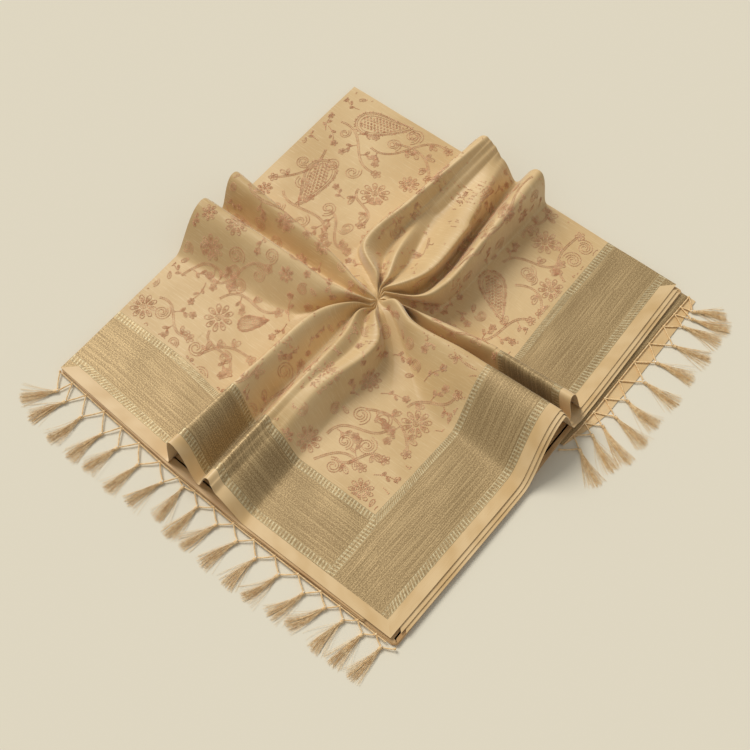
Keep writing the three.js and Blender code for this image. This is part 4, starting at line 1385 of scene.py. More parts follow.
@dataclass(frozen=True)
class InnerEndLayer:
    """A flat layer of the sari's inner end beside the packet: its edge line as (y, x) pairs."""

    WAVE, WAVE_RATE, SET_BACK = 0.35, 0.11, 0.3
    HEM, HEM_WIDTH, DROOP = 0.35, 1.2, 0.3
    SWELL, SWELL_RATE = 0.12, 0.07

    name: str
    slot: Slot
    top: float
    edge_line: tuple[Place, ...]
    start: float = 251.5

    def edge_at(self, y: np.ndarray) -> np.ndarray:
        """The X place of the edge at the given Y."""
        known = np.array(self.edge_line, dtype=float)
        return np.interp(y, known[:, 0], known[:, 1])

    def build(self, wardrobe: Wardrobe) -> None:
        """Builds and dresses the layer."""
        low, high = self.edge_line[0][0], self.edge_line[-1][0]
        y = np.linspace(low, high, 90)
        edge = self.edge_at(y) + self.WAVE * np.sin(y * self.WAVE_RATE) - self.SET_BACK
        share = np.linspace(0, 1, 10)
        x = edge[:, None] * (1 - share) + self.start * share
        hem = self.HEM * np.exp(-(((edge[:, None] - x) / self.HEM_WIDTH - 1) ** 2))
        droop = -self.DROOP * (1 - share) ** 4
        swell = self.SWELL * np.sin(y * self.SWELL_RATE)[:, None]
        z = self.top + hem * (self.slot is Slot.PLAIN) + droop + swell
        points = np.stack([x, np.broadcast_to(y[:, None], x.shape), z], -1)
        depth = edge[:, None] - x
        band = np.stack([np.broadcast_to(y[:, None], x.shape), depth + BAND_DEPTH * 0.3], -1)
        shell = ShellMesh(self.name, SHELL)
        shell.add_grid(points, {"band": band})
        piece = shell.build()
        wardrobe.dress(piece, self.slot, (self.name,))


# ------------------------------------------------------------------ fringes
@dataclass(frozen=True)
class Tassel:
    """Where a tassel's head lies and where its threads end."""

    head: Place
    tip: Place


def tassels(*rows: tuple[float, float, float, float]) -> tuple[Tassel, ...]:
    """Tassels from rows of head X and Y, tip X and Y."""
    return tuple(Tassel(row[:2], row[2:]) for row in rows)


@dataclass(frozen=True)
class FringeForm:
    """Sizes of a tassel and of the net that it hangs from."""

    head_length: float = 7.0
    head_radius: float = 1.7
    head_height: float = 2.4
    spread: float = 26.0
    strands: int = 72
    strand_radius: float = 0.19
    cord_radius: float = 0.85
    knot_radius: float = 1.15
    bead_radius: float = 1.0


@dataclass
class Fringe:
    """The knotted net and the tassels along one cloth edge."""

    PAST_LAST_HEAD = 13
    KNOT_LENGTH = 1.6
    KNOT_TURNS = 3.0
    KNOT_THREAD = 0.5
    WRAP_TURNS = 6.0
    WRAP_THREAD = 0.42
    STRAY_SHARE = 0.1

    name: str
    tassels: tuple[Tassel, ...]
    axis: int
    height: float
    edge: Callable[[np.ndarray], np.ndarray]
    line_start: float
    line_end: float
    seed: int
    form: FringeForm = FringeForm()

    def on_edge(self, place: np.ndarray | float) -> np.ndarray:
        """Points of the cloth's edge line at places along it."""
        place = np.atleast_1d(np.asarray(place, dtype=float))
        other = self.edge(place)
        first, second = (place, other) if self.axis == 0 else (other, place)
        return np.stack([first, second, np.full(len(place), self.height)], -1)

    def build(self, wardrobe: Wardrobe, cords: NodeTree, scatter: NodeTree) -> None:
        """Builds the net, the threads and the beads."""
        rng = np.random.default_rng(self.seed)
        net, strands, beads = Threads(), Threads(), []
        form = self.form
        net.twist(self.on_edge(np.linspace(self.line_start, self.line_end, 120)), form.cord_radius)
        heads = np.array([[*tassel.head, form.head_height] for tassel in self.tassels])
        order = np.argsort(heads[:, self.axis])
        along = heads[order, self.axis]
        ends = ([along[0] - self.PAST_LAST_HEAD], [along[-1] + self.PAST_LAST_HEAD])
        knots = self.on_edge(np.concatenate([ends[0], (along[1:] + along[:-1]) / 2, ends[1]]))
        knot_form = (form.knot_radius, self.KNOT_TURNS, self.KNOT_THREAD)
        for knot in knots:
            net.coil(knot, np.array([1.0, 0.3, 0.0]), self.KNOT_LENGTH, *knot_form)
        for rank, index in enumerate(order):
            head = heads[index]
            reach = np.array([*self.tassels[index].tip, form.head_height]) - head
            forward = unit(reach)
            top = head - forward * form.head_length / 2
            for knot in (knots[rank], knots[rank + 1]):
                t = np.linspace(0, 1, 9)[:, None]
                sag = np.sin(math.pi * t) * np.array([0.0, 0.0, rng.uniform(-0.5, 0.2)])
                path = knot * (1 - t) + top * t + sag + forward * np.sin(math.pi * t) * 0.8
                net.twist(path, form.cord_radius)
            net.coil(head - forward * 1.2, forward, form.head_length * 0.7, form.head_radius,
                     self.WRAP_TURNS, self.WRAP_THREAD)
            net.coil(top, forward, 1.8, *knot_form)
            aside = sideways(forward)
            above = np.array([0, 0, form.knot_radius + 0.4])
            beads.append(top + aside * rng.uniform(-0.4, 0.4) + above)
            self._strands(strands, head, reach, aside, rng)
        values = {"Sides": 5, "Thickness": 1.0, "Material": wardrobe.material(Slot.THREAD)}
        piece = cords.grow(self.name + "_net", net.mesh("net"), values)
        wardrobe.dress(piece, Slot.THREAD, (self.name,))
        values["Sides"] = 3
        piece = cords.grow(self.name + "_threads", strands.mesh("threads"), values)
        wardrobe.dress(piece, Slot.THREAD)
        self._beads(np.array(beads), wardrobe, scatter)

    def _strands(self, strands: Threads, head: np.ndarray, reach: np.ndarray, aside: np.ndarray,
                 rng: np.random.Generator) -> None:
        """Adds the loose threads of one tassel, which fan out and come to rest on the floor."""
        form = self.form
        length = float(np.linalg.norm(reach))
        forward = reach / length
        lean = rng.uniform(-2.0, 2.0)
        t = np.linspace(0, 1, 8)
        for _strand in range(form.strands):
            angle = rng.uniform(0, 2 * math.pi)
            radius = form.head_radius * 0.8 * math.sqrt(rng.uniform())
            side, lift = radius * math.cos(angle), radius * math.sin(angle)
            share = rng.normal(0, 0.42)
            stray = rng.uniform() < self.STRAY_SHARE
            fan = share * form.spread * 0.5 * (1.6 if stray else 1.0)
            own = length * rng.uniform(0.86, 1.0) - abs(fan) * 0.18
            rest = 0.35 + rng.uniform() ** 2 * (3.0 if stray else 1.5)
            curled = rng.uniform(-0.7, 0.7) * (4.5 if stray else 1.0)
            offset = side * (1 - t) + fan * t**1.1 + lean * np.sin(math.pi * t)
            offset += curled * np.sin(3 * t) * t
            height = (form.head_height + lift) * (1 - t) ** 1.6 + rest * (1 - (1 - t) ** 1.6)
            height += 0.5 * np.sin(math.pi * t) * rng.uniform(0, 1.6)
            travel = -1.0 + (own + 1.0) * t
            points = head + forward * travel[:, None] + aside * offset[:, None]
            points[:, 2] = np.maximum(height, 0.3)
            strands.add(points, form.strand_radius * (1 - 0.45 * t))

    def _beads(self, places: np.ndarray, wardrobe: Wardrobe, scatter: NodeTree) -> None:
        """Sets a bead at each place."""
        mesh = bpy.data.meshes.new("bead")
        with edited(mesh) as ball:
            radius = self.form.bead_radius * MM
            bmesh.ops.create_uvsphere(ball, u_segments=12, v_segments=8, radius=radius)
        item = object_from("bead_item", mesh)
        source = scattered_points(places, np.zeros_like(places), np.ones_like(places))
        values = {"Item": item, "Material": wardrobe.material(Slot.BEAD)}
        piece = scatter.grow(self.name + "_beads", source, values)
        bpy.data.objects.remove(item)
        wardrobe.dress(piece, Slot.BEAD)


def scattered_points(places: np.ndarray, facing: np.ndarray, sizes: np.ndarray) -> bpy.types.Mesh:
    """Points with the attributes that the scatter tree reads. Places are millimetres."""
    mesh = bpy.data.meshes.new("points")
    mesh.from_pydata((places * MM).tolist(), [], [])
    for key, values in (("facing", facing), ("size", sizes)):
        layer = mesh.attributes.new(key, "FLOAT_VECTOR", "POINT")
        layer.data.foreach_set("vector", values.astype(np.float32).ravel())
    return mesh


PALLU_TASSELS = tassels(
    (-237, -293, -264, -325), (-219, -297, -236, -338), (-190, -300, -199, -344),
    (-157, -301, -165, -346), (-131, -302, -142, -344), (-98, -303, -104, -348),
    (-63, -302, -78, -344), (-40, -292, -36, -338), (-12, -300, -16, -346),
    (18, -302, 4, -345), (48, -303, 36, -347), (77, -305, 72, -349), (108, -304, 96, -347),
    (142, -303, 128, -345), (170, -301, 150, -341), (194, -300, 190, -345),
    (219, -299, 214, -344), (243, -298, 238, -343),
)
INNER_TASSELS = tassels(
    (283, 257, 318, 276), (288, 247, 331, 262), (285, 231, 331, 240), (290, 202, 334, 212),
    (287, 170, 333, 176), (290, 139, 336, 138), (287, 106, 333, 100), (288, 80, 335, 70),
    (283, 61, 332, 40), (280, 44, 324, 22), (279, 20, 320, -4),
)
INNER_ZARI = InnerEndLayer("inner_end_zari", Slot.ZARI, 2.7,
                           ((14, 258), (45, 261), (80, 262), (150, 262), (220, 263), (270, 265)))
INNER_PLAIN = InnerEndLayer("inner_end_plain", Slot.PLAIN, 1.2,
                            ((15, 260), (45, 270), (80, 277), (150, 279), (220, 279), (271, 276)))
LOWER_FOLDS = (
    LowerBorderFold("second_border_fold", 1, 5.0, 0.07, 5.96),
    LowerBorderFold("third_border_fold", 2, 9.0, 0.1, 5.94),
)


def fringes(layers: FoldedLayers) -> tuple[Fringe, Fringe]:
    """The fringe of the pallu end and that of the inner end."""
    known = np.array([*layers.pallu_edge, (255.0, layers.pallu_end)])

    def pallu_edge(x: np.ndarray) -> np.ndarray:
        """Y of the pallu's cord at an X."""
        return np.interp(x, known[:, 0], known[:, 1]) - 2.8

    def inner_edge(y: np.ndarray) -> np.ndarray:
        """X of the inner end's cord at a Y."""
        return INNER_ZARI.edge_at(y) + 1.6

    return (Fringe("pallu_fringe", PALLU_TASSELS, 0, 3.7, pallu_edge, -249.0, 244.0, 3),
            Fringe("inner_end_fringe", INNER_TASSELS, 1, 2.5, inner_edge, 14.5, 269.5, 5))


# ------------------------------------------------------------------ embroidery
def arc(centre: Place, radius: float, start: float, sweep: float, shrink: float = 0.0,
        step: float = 2.0) -> np.ndarray:
    """An arc or, where it shrinks, a spiral. Angles are degrees."""
    mean = radius * (1 - shrink / 2)
    count = max(4, int(abs(math.radians(sweep)) * mean / step))
    t = np.linspace(0, 1, count + 1)
    angle = np.radians(start + sweep * t)
    reach = radius * (1 - shrink * t)
    return np.stack([centre[0] + reach * np.cos(angle), centre[1] + reach * np.sin(angle)], -1)


def bent(start: Sequence[float], end: Sequence[float], bow: float,
         second: float | None = None) -> np.ndarray:
    """A line with one bend, or with a second one the other way: an S where their signs differ."""
    a, b = np.array(start, dtype=float), np.array(end, dtype=float)
    run = b - a
    side = np.array([-run[1], run[0]])
    second = bow if second is None else second
    c, d = a + run / 3 + side * bow, a + run * 2 / 3 + side * second
    t = np.linspace(0, 1, max(6, int(np.linalg.norm(run) / 3)))[:, None]
    return a * (1 - t)**3 + 3 * c * t * (1 - t)**2 + 3 * d * t * t * (1 - t) + b * t**3


def loop(length: float, width: float, pointed: float = 1.0) -> np.ndarray:
    """A petal or leaf from the origin along X and back."""
    t = np.linspace(0, 2 * math.pi, max(9, int((length + width) * 1.1)))
    x = length * (1 - np.cos(t)) / 2
    y = width / 2 * np.sin(t) * np.abs(np.sin(t / 2)) ** (0.6 * pointed)
    return np.stack([x, y], -1)


def placed(lines: Sequence[np.ndarray], place: Sequence[float], turn: float, size: float = 1.0,
           flip: bool = False) -> list[np.ndarray]:
    """Lines turned by an angle in degrees, resized, mirrored if asked, and moved to a place."""
    a = math.radians(turn)
    spin = np.array([[math.cos(a), math.sin(a)], [-math.sin(a), math.cos(a)]])
    sides = np.array([1.0, -1.0 if flip else 1.0])
    return [(line * sides * size) @ spin + np.array(place) for line in lines]


def flower(petals: int = 9, radius: float = 17.0) -> list[np.ndarray]:
    """A round flower: looped petals with a thread up each, round a coiled centre."""
    lines = [arc((0, 0), radius * 0.3, 0, 760, 0.85, 1.6)]
    root = radius * 0.32
    width = radius * 3.4 / petals
    petal = [loop(radius * 0.68, width) + (root, 0),
             loop(radius * 0.42, width * 0.4) + (root + 0.6, 0)]
    for k in range(petals):
        lines += placed(petal, (0, 0), 360 * k / petals)
    return lines


def floret(radius: float = 5.5, petals: int = 5) -> list[np.ndarray]:
    """A small flower of single loops."""
    lines = [arc((0, 0), radius * 0.28, 0, 360, 0.3, 1.2)]
    petal = [loop(radius * 0.75, radius * 0.75, 0.4) + (radius * 0.28, 0)]
    for k in range(petals):
        lines += placed(petal, (0, 0), 360 * k / petals)
    return lines


def leaf(length: float = 9.0) -> list[np.ndarray]:
    """A leaf with a vein."""
    return [loop(length, length * 0.5), bent((0, 0), (length * 0.7, 0), 0.05)]


def curl(radius: float = 9.0, turns: float = 1.4) -> list[np.ndarray]:
    """A tendril that ends in a double coil, from the origin along X."""
    centre = (radius * 0.9, radius * 0.95)
    return [arc(centre, radius, -105, 360 * turns, 0.75),
            arc(centre, radius * 0.72, -105, 300 * turns, 0.8)]


def sprig(length: float = 24.0) -> list[np.ndarray]:
    """A short stem with two leaves and a floret at its end."""
    lines = [bent((0, 0), (length, 0), 0.14)]
    lines += placed(leaf(7.5), (length * 0.35, 1.5), 48)
    lines += placed(leaf(7.0), (length * 0.6, 1.0), -42)
    return lines + placed(floret(4.6), (length + 4, 0), 0)


def paisley(length: float = 68.0, width: float = 46.0) -> list[np.ndarray]:
    """A paisley: two outlines, scallops outside, and rows of small loops inside."""
    t = np.linspace(0, 1, 90)
    angle = 2 * math.pi * t

    def drop(shrink: float) -> np.ndarray:
        """The drop shape, drawn in by a width, with its tip curled to one side."""
        half_w, half_l = width / 2 - shrink, length * 0.42 - shrink
        x = half_l * np.cos(angle)
        taper = np.clip((x / half_l + 1) / 2, 0, 1)
        y = half_w * np.sin(angle) * (1 - 0.62 * taper**1.5)
        x = x + length * 0.2 * taper**3
        return np.stack([x, y + length * 0.22 * taper**3], -1)

    lines = [drop(0), drop(2.4), drop(6.0)]
    outer = drop(-2.6)
    scallop = [arc((2.2, 0), 2.4, 180, -180, 0, 1.4)]
    for k in range(0, 84, 5):
        ahead = outer[(k + 3) % 90] - outer[k]
        lines += placed(scallop, outer[k], math.degrees(math.atan2(ahead[1], ahead[0])))
    inside = drop(8.5)
    low, high = inside.min(0), inside.max(0)
    for row, y in enumerate(np.arange(low[1], high[1], 4.0)):
        for x in np.arange(low[0] + 2.3 * (row % 2), high[0], 4.6):
            band = inside[np.abs(inside[:, 0] - x) < 3.0]
            if len(band) > 1 and band[:, 1].min() < y < band[:, 1].max():
                lines.append(arc((x, y), 2.1, 90 * (row % 4), 400, 0.5, 1.3))
    return lines


VINE_START, VINE_END, VINE_PITCH = 11, 6, 17
CURL_SHARE, LEAF_SHARE = 0.36, 0.7


def vine(start: Sequence[float], end: Sequence[float], bow: float, second: float, seed: int,
         ) -> list[np.ndarray]:
    """A double stem with curls, leaves and florets on both sides.

    Args:
        start: where the stem begins.
        end: where it ends, in a floret.
        bow: its first bend as a part of its length.
        second: its second bend.
        seed: chooses what grows where.
    """
    rng = np.random.default_rng(seed)
    stem = bent(start, end, bow, second)
    ahead = unit(np.gradient(stem, axis=0))
    aside = np.stack([-ahead[:, 1], ahead[:, 0]], -1)
    lines = [stem, stem + aside * 2.0]
    run = run_of(stem)
    side = 1 if rng.uniform() < 0.5 else -1
    for distance in np.arange(VINE_START, run[-1] - VINE_END, VINE_PITCH):
        index = int(np.searchsorted(run, distance))
        heading = math.degrees(math.atan2(ahead[index, 1], ahead[index, 0]))
        choice = rng.uniform()
        root = stem[index] + aside[index] * (2.6 if side > 0 else -0.8)
        if choice < CURL_SHARE:
            parts = curl(rng.uniform(9, 13), rng.uniform(1.2, 1.6))
            lines += placed(parts, root, heading + side * 22, 1.0, side < 0)
        elif choice < LEAF_SHARE:
            lines += placed(leaf(rng.uniform(11, 14)), root, heading + side * rng.uniform(38, 60))
            lines += placed(leaf(rng.uniform(8, 11)), root, heading + side * rng.uniform(85, 110))
        else:
            parts = sprig(rng.uniform(12, 18))
            lines += placed(parts, root, heading + side * rng.uniform(45, 70), 1.1, side < 0)
        side = -side
    return lines + placed(floret(6.2), stem[-1] + ahead[-1] * 4, 0)


@dataclass(frozen=True)
class Spot:
    """A motif's place as seen from above, its turn in degrees and its size."""

    place: Place
    turn: float = 0.0
    size: float = 1.0
    flip: bool = False


@dataclass
class Embroidery:
    """Chain stitch on the silk: paisleys and flowers, vines between them, sprigs in the gaps."""

    BAND_MARGIN = 2.5
    FIELD_ENDS = (145, -166)      # X and Y past which the flat corners are border or pallu
    STITCHED_DEPTHS = (4, 272)
    SIZE_LIMITS = (0.45, 1.25)
    MOST_DRAWN_IN = 0.3
    SPRIGS, CURLS = 0.45, 0.85    # shares of the fill, the second up to its end

    sheet: TopSheet
    pitch: float = 2.3
    lift: float = 0.2
    probe: float = 1.3
    longest_step: float = 9.0
    clearance: float = 9.5
    most_faces: int = 180000
    paisleys: tuple[Spot, ...] = (
        Spot((-185, 238), 12), Spot((-190, 128), -62, 1.05, True), Spot((78, 128), -58, 0.9),
        Spot((-118, -88), 30, 0.55), Spot((-40, 205), 80, 0.7, True),
    )
    flowers: tuple[Spot, ...] = (
        Spot((-120, 152), 10, 1.05), Spot((-84, 96), 0, 0.95), Spot((133, 172), 20, 0.95),
        Spot((88, 224), 0, 1.0), Spot((-152, -104), 15, 1.1), Spot((-212, -46), 0, 0.95),
        Spot((34, -162), 8, 0.95), Spot((118, -172), 12, 0.85), Spot((116, -70), 0, 1.05),
        Spot((-232, -148), 25, 1.0), Spot((-60, -98), 0, 0.9), Spot((-8, -96), 10, 0.95),
        Spot((-96, 190), 40, 0.75), Spot((40, -60), 0, 0.85), Spot((-66, 236), 0, 0.85),
        Spot((44, 200), 0, 0.8), Spot((-160, 30), 0, 0.8), Spot((-196, -14), 0, 0.85),
        Spot((-104, 34), 0, 0.7), Spot((70, 52), 0, 0.8), Spot((-70, 120), 30, 0.7),
    )
    vines: tuple[tuple[Place, Place, float, float], ...] = (
        ((-226, 214), (-142, 176), 0.3, -0.25), ((-170, 205), (-92, 262), -0.35, 0.3),
        ((-150, 228), (-84, 214), 0.3, 0.3), ((-214, 168), (-234, 96), 0.3, 0.2),
        ((-142, 146), (-104, 108), -0.3, 0.35), ((-150, 96), (-96, 62), 0.25, -0.3),
        ((-214, 84), (-132, 66), -0.2, 0.3), ((-226, -88), (-172, -62), 0.5, 0.3),
        ((-168, -84), (-104, -58), 0.4, -0.2), ((-226, -128), (-164, -148), 0.35, -0.35),
        ((-150, -124), (-96, -150), -0.4, 0.4), ((-136, -158), (-88, -124), 0.2, 0.3),
        ((-196, -72), (-140, -30), -0.3, 0.3), ((46, -142), (96, -98), 0.4, -0.2),
        ((70, -160), (112, -128), -0.45, 0.35), ((60, -92), (128, -104), 0.35, 0.3),
        ((96, -60), (136, -24), 0.3, -0.3), ((54, -176), (98, -150), 0.2, 0.4),
        ((100, 60), (136, 120), -0.3, 0.25), ((66, 168), (120, 206), 0.35, -0.25),
        ((140, 192), (116, 254), 0.35, 0.2), ((64, 214), (66, 262), 0.3, -0.3),
        ((96, 150), (140, 140), 0.4, 0.4), ((-232, 12), (-150, 8), 0.2, -0.25),
        ((-226, 40), (-132, 36), -0.2, 0.2), ((-60, 250), (-62, 168), 0.2, -0.25),
        ((-70, 150), (-64, 92), -0.25, 0.25), ((36, 262), (44, 160), -0.2, 0.2),
        ((44, 150), (42, 92), 0.25, -0.2), ((-62, -176), (-56, -92), -0.2, 0.25),
        ((-14, -178), (-12, -100), 0.2, -0.2), ((140, 24), (72, 12), 0.2, -0.2),
        ((130, 46), (66, 36), -0.2, 0.25), ((10, 250), (0, 150), 0.25, -0.2),
        ((-20, 130), (-24, 70), 0.2, 0.2), ((-28, -170), (-30, -100), 0.1, -0.2),
    )
    tries: int = 5000

    def __post_init__(self) -> None:
        """Lays the sheet out flat, to find places on it from above and from the plan."""
        sheet = self.sheet
        turns = sheet.turns(0.0, float(LINE_COUNT))[:-1]
        depths = np.concatenate([np.linspace(2, SHOULDER, 90), np.linspace(228, 276, 34)])
        flat = sheet.plan.at(turns, depths)
        self.points = sheet.relief(sheet.surface.points(turns, depths), flat).reshape(-1, 3)
        self.level = flat.reshape(-1, 2)
        columns, rows = flat.shape[:2]
        index = np.arange(columns * rows).reshape(columns, rows)
        after = np.roll(index, -1, 0)
        quads = np.stack([index[:, :-1], after[:, :-1], after[:, 1:], index[:, 1:]], -1)
        quads = quads.reshape(-1, 4)
        self.faces = np.concatenate([quads[:, [0, 1, 2]], quads[:, [0, 2, 3]]])
        self.turn_of = np.repeat(turns, rows)
        self.depth_of = np.tile(depths, columns)
        faces = self.faces.tolist()
        plan = np.concatenate([self.level, np.zeros((columns * rows, 1))], -1)
        self.flat_tree = BVHTree.FromPolygons(plan.tolist(), faces)
        self.solid_tree = BVHTree.FromPolygons(self.points.tolist(), faces)

    def shares(self, corners: np.ndarray, place: np.ndarray) -> np.ndarray:
        """Barycentric shares of a place in the plane of a triangle."""
        a, b, c = corners
        basis = np.array([b - a, c - a]).T
        u, v = np.linalg.solve(basis + np.eye(2) * 1e-9, place - a)
        return np.array([1 - u - v, u, v])

    def flat_at(self, place: Place) -> np.ndarray:
        """The place on the flat cloth of what is seen from above at a point."""
        hit, _normal, index, _distance = self.solid_tree.ray_cast((*place, 200), (0, 0, -1))
        if hit is None:
            return self.level[np.argmin(np.linalg.norm(self.points[:, :2] - place, axis=1))]
        corners = self.faces[index]
        shares = self.shares(self.points[corners][:, :2], np.array(hit[:2]))
        return shares @ self.level[corners]

    def on_cloth(self, place: np.ndarray) -> tuple[np.ndarray, np.ndarray] | None:
        """The point and normal of the cloth at a flat place, or None where nothing is stitched."""
        hit, _normal, index, _distance = self.flat_tree.ray_cast((*place, 5), (0, 0, -1))
        if hit is None:
            return None
        corners = self.faces[index]
        shares = self.shares(self.level[corners], place)
        depth = float(shares @ self.depth_of[corners])
        turn = self.turn_of[corners[0]]
        point = shares @ self.points[corners]
        banded_side = turn < BORDER_FAR_TURN or turn >= PALLU_FAR_TURN
        on_band = depth < BAND_DEPTH + self.BAND_MARGIN and banded_side
        past_border = turn < BORDER_FAR_TURN + 1 and point[0] > self.FIELD_ENDS[0]
        past_pallu = PALLU_FAR_TURN - 1 <= turn < PALLU_FAR_TURN and point[1] < self.FIELD_ENDS[1]
        low, high = self.STITCHED_DEPTHS
        if on_band or past_border or past_pallu or depth < low or depth > high:
            return None
        a, b, c = self.points[corners]
        return point, unit(np.cross(b - a, c - a))

    def lines(self) -> list[np.ndarray]:
        """All stitched lines on the flat cloth."""
        drawn: list[np.ndarray] = []
        for motif, spots in ((paisley, self.paisleys), (flower, self.flowers)):
            for spot in spots:
                drawn += placed(motif(), self.flat_at(spot.place), spot.turn, spot.size, spot.flip)
        for seed, (start, end, bow, second) in enumerate(self.vines):
            drawn += vine(self.flat_at(start), self.flat_at(end), bow, second, seed)
        return drawn + self._fill(drawn)

    def _fill(self, drawn: list[np.ndarray]) -> list[np.ndarray]:
        """Sprigs, curls and florets where the cloth as it lies is still bare."""
        rng = np.random.default_rng(23)
        corners = self.points[self.faces]
        a, b, c = corners[:, 0], corners[:, 1], corners[:, 2]
        areas = np.linalg.norm(np.cross(b - a, c - a), axis=1) / 2
        level = self.level[self.faces]
        sides = level[:, 1:] - level[:, :1]
        drawn_in = np.sqrt(np.abs(np.linalg.det(sides)) / 2 / np.maximum(areas, 1e-6))
        summed = np.cumsum(areas)
        taken = {key for line in drawn for key in self._cells(line)}
        added: list[np.ndarray] = []
        for _try in range(self.tries):
            face = int(np.searchsorted(summed, rng.uniform(0, summed[-1])))
            shares = rng.dirichlet((1.0, 1.0, 1.0))
            kind, turn = rng.uniform(), rng.uniform(0, 360)
            size = float(np.clip(drawn_in[face], *self.SIZE_LIMITS))
            middle = np.floor(shares @ corners[face] / self.clearance).astype(int)
            if tuple(middle) in taken or drawn_in[face] < self.MOST_DRAWN_IN:
                continue
            if kind < self.SPRIGS:
                parts = sprig(rng.uniform(18, 28))
            elif kind < self.CURLS:
                parts = curl(rng.uniform(8, 12)) + placed(leaf(11), (0, 0), 150)
            else:
                parts = flower(7, 10.0)
            parts = placed(parts, shares @ level[face], turn, size)
            keys = {key for line in parts for key in self._cells(line)}
            if not keys or keys & taken:
                continue
            taken |= keys
            added += parts
        return added

    def _cells(self, line: np.ndarray) -> set[tuple[int, ...]]:
        """The cells of space that a line touches once it lies on the cloth."""
        found = (self.on_cloth(spot) for spot in line[::3])
        points = (spot[0] for spot in found if spot is not None)
        return {tuple(np.floor(point / self.clearance).astype(int)) for point in points}

    def laid(self, line: np.ndarray) -> list[tuple[np.ndarray, np.ndarray]]:
        """The stretches of a flat line that lie on the silk: points and normals in space."""
        run = run_of(line)
        s = np.linspace(0, run[-1], max(2, math.ceil(run[-1] / self.probe)) + 1)
        stretches: list[tuple[np.ndarray, np.ndarray]] = []
        points: list[np.ndarray] = []
        normals: list[np.ndarray] = []
        for spot in resampled(line, run, s):
            found = self.on_cloth(spot)
            torn = found is None or (
                points and np.linalg.norm(found[0] - points[-1]) > self.longest_step)
            if points and torn:
                stretches.append((np.array(points), np.array(normals)))
                points, normals = [], []
            if found is not None:
                points.append(found[0])
                normals.append(found[1])
        stretches.append((np.array(points), np.array(normals)))
        return [stretch for stretch in stretches if len(stretch[0]) > 1]

    def stitches(self) -> tuple[np.ndarray, np.ndarray, np.ndarray]:
        """Places, turns and sizes of all stitches."""
        rng = np.random.default_rng(31)
        places, facings, sizes = [], [], []
        for points, normals in (stretch for line in self.lines() for stretch in self.laid(line)):
            run = run_of(points)
            if run[-1] < self.pitch * 0.6:
                continue
            s = np.linspace(0, run[-1], max(1, round(run[-1] / self.pitch)) + 1)
            spots, facing = resampled(points, run, s), resampled(normals, run, s)
            for here, there, normal in zip(spots[:-1], spots[1:], unit(facing[:-1] + facing[1:])):
                gap = there - here
                length = float(np.linalg.norm(gap))
                if length < self.pitch * 0.3:
                    continue
                forward = gap / length
                aside = unit(np.cross(normal, forward))
                axes = Matrix(np.stack([forward, aside, np.cross(forward, aside)], -1).tolist())
                places.append((here + there) / 2 + normal * self.lift)
                facings.append(tuple(axes.to_euler()))
                width = rng.uniform(0.85, 1.15)
                sizes.append((length / self.pitch * 1.08, width, rng.uniform(0.85, 1.2)))
        return np.array(places), np.array(facings), np.array(sizes)

    def stitch_item(self) -> bpy.types.Object:
        """One chain stitch: two legs that meet at both ends, open between them."""
        half = self.pitch / 2 * 1.15
        verts, faces = [], []
        for side in (-1, 1):
            base = len(verts)
            verts += [(-half, side * 0.12, 0), (half, side * 0.12, 0), (0, side * 0.2, 0.05),
                      (0.1, side * 0.8, 0.0), (0.1, side * 0.48, 0.15), (0, side * 0.48, -0.15)]
            for a, b in ((2, 4), (4, 3), (3, 5), (5, 2)):
                first, second = (base + a, base + b) if side > 0 else (base + b, base + a)
                faces += [(base, first, second), (base + 1, second, first)]
        mesh = bpy.data.meshes.new("stitch")
        mesh.from_pydata((np.array(verts) * MM).tolist(), [], faces)
        with edited(mesh) as solid:
            bmesh.ops.recalc_face_normals(solid, faces=solid.faces)
        return object_from("stitch_item", mesh)

    def build(self, wardrobe: Wardrobe, scatter: NodeTree) -> None:
        """Stitches the cloth, in as many pieces as the face limit asks for."""
        places, facings, sizes = self.stitches()
        item = self.stitch_item()
        per_piece = self.most_faces // len(item.data.polygons)
        pieces = math.ceil(len(places) / per_piece)
        LOG.info("embroidery: %d stitches in %d pieces", len(places), pieces)
        for number, index in enumerate(np.array_split(np.arange(len(places)), pieces), 1):
            source = scattered_points(places[index], facings[index], sizes[index])
            values = {"Item": item, "Material": wardrobe.material(Slot.STITCH)}
            piece = scatter.grow(f"embroidery_{number}", source, values)
            wardrobe.dress(piece, Slot.STITCH)
        bpy.data.objects.remove(item)


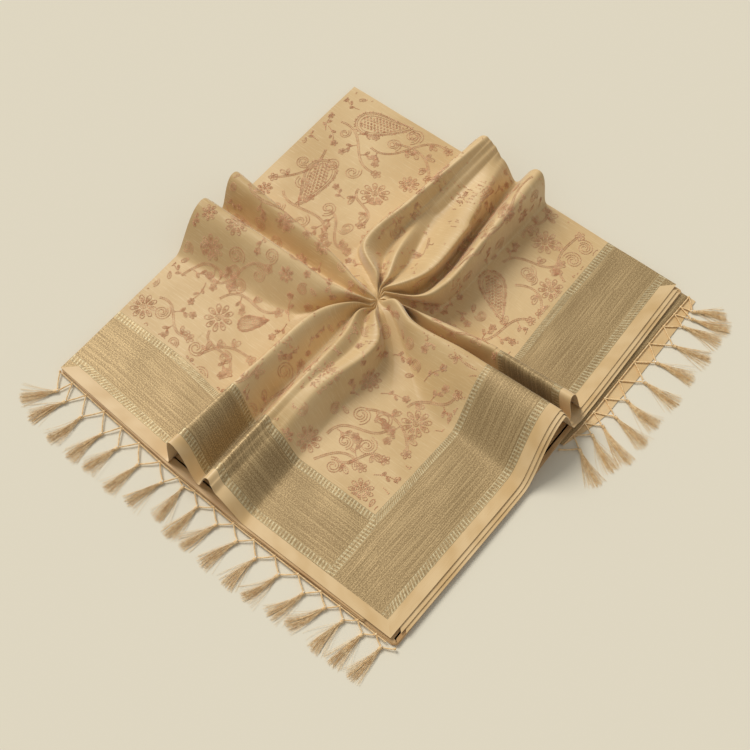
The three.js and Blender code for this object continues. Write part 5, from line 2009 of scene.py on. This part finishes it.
# ------------------------------------------------------------------ studio
@dataclass
class Studio:
    """Plain pale floor, soft light from the upper left, and the camera."""

    azimuth: float = 38.4714
    elevation: float = 61.2551
    distance: float = 1.4826
    target: Place = (0.0373, -0.0459)
    focal_pixels: float = 1278.19
    picture_pixels: float = 750.0
    sensor: float = 36.0
    floor_reach: float = 40.0
    key_from: Point = (-1.0, 0.2, 1.15)
    key_width: float = 30.0
    key_strength: float = 2.25
    key_colour: Colour = (1.0, 0.97, 0.92)
    world_strength: float = 0.41
    world_colour: Colour = (1.0, 0.98, 0.94)

    def camera(self) -> None:
        """Creates the camera and makes it the scene's."""
        turn, rise = math.radians(self.azimuth), math.radians(self.elevation)
        level = math.cos(rise)
        back = Vector((math.sin(turn) * level, -math.cos(turn) * level, math.sin(rise)))
        data = bpy.data.cameras.new("camera")
        data.sensor_width = self.sensor
        data.lens = self.sensor * self.focal_pixels / self.picture_pixels
        camera = bpy.data.objects.new("camera", data)
        camera.location = Vector((*self.target, 0.0)) + back * self.distance
        camera.rotation_euler = (-back).to_track_quat("-Z", "Y").to_euler()
        bpy.context.collection.objects.link(camera)
        bpy.context.scene.camera = camera

    def floor(self) -> None:
        """Lays the floor."""
        reach = self.floor_reach
        corners = [(x * reach, y * reach, 0) for x, y in ((-1, -1), (1, -1), (1, 1), (-1, 1))]
        mesh = bpy.data.meshes.new("floor")
        mesh.from_pydata(corners, [], [(0, 1, 2, 3)])
        mesh.materials.append(FloorFinish().material())
        object_from("floor", mesh)

    def key_light(self) -> None:
        """Adds one wide soft light from the upper left, even over the whole floor."""
        data = bpy.data.lights.new("key", "SUN")
        data.energy, data.color = self.key_strength, self.key_colour
        data.angle = math.radians(self.key_width)
        lamp = bpy.data.objects.new("key", data)
        lamp.rotation_euler = Vector(self.key_from).to_track_quat("Z", "Y").to_euler()
        bpy.context.collection.objects.link(lamp)

    def build(self) -> None:
        """Sets the whole studio up."""
        self.camera()
        self.floor()
        self.key_light()
        world = bpy.data.worlds.new("studio")
        world.use_nodes = True
        background = world.node_tree.nodes["Background"]
        background.inputs["Color"].default_value = opaque(self.world_colour)
        background.inputs["Strength"].default_value = self.world_strength
        scene = bpy.context.scene
        scene.world = world
        scene.view_settings.view_transform = "Standard"


def main() -> None:
    """Builds the studio and every piece of the sari."""
    logging.basicConfig(level=logging.INFO, format="%(message)s")
    Studio().build()
    wardrobe = Wardrobe()
    surface = FoldedSurface()
    plan = ClothPlan(surface)
    width, height = np.ptp(plan.flat.reshape(-1, 2), axis=0)
    LOG.info("cloth laid flat: %.0f by %.0f mm", width, height)
    sheet = TopSheet(surface, plan)
    sheet.build(wardrobe)
    for fold in LOWER_FOLDS:
        fold.build(surface, wardrobe)
    layers = FoldedLayers()
    layers.build(wardrobe)
    for layer in (INNER_ZARI, INNER_PLAIN):
        layer.build(wardrobe)
    cords, scatter = cord_tree(), scatter_tree()
    for fringe in fringes(layers):
        fringe.build(wardrobe, cords, scatter)
    Embroidery(sheet).build(wardrobe, scatter)


if __name__ == "__main__":
    main()
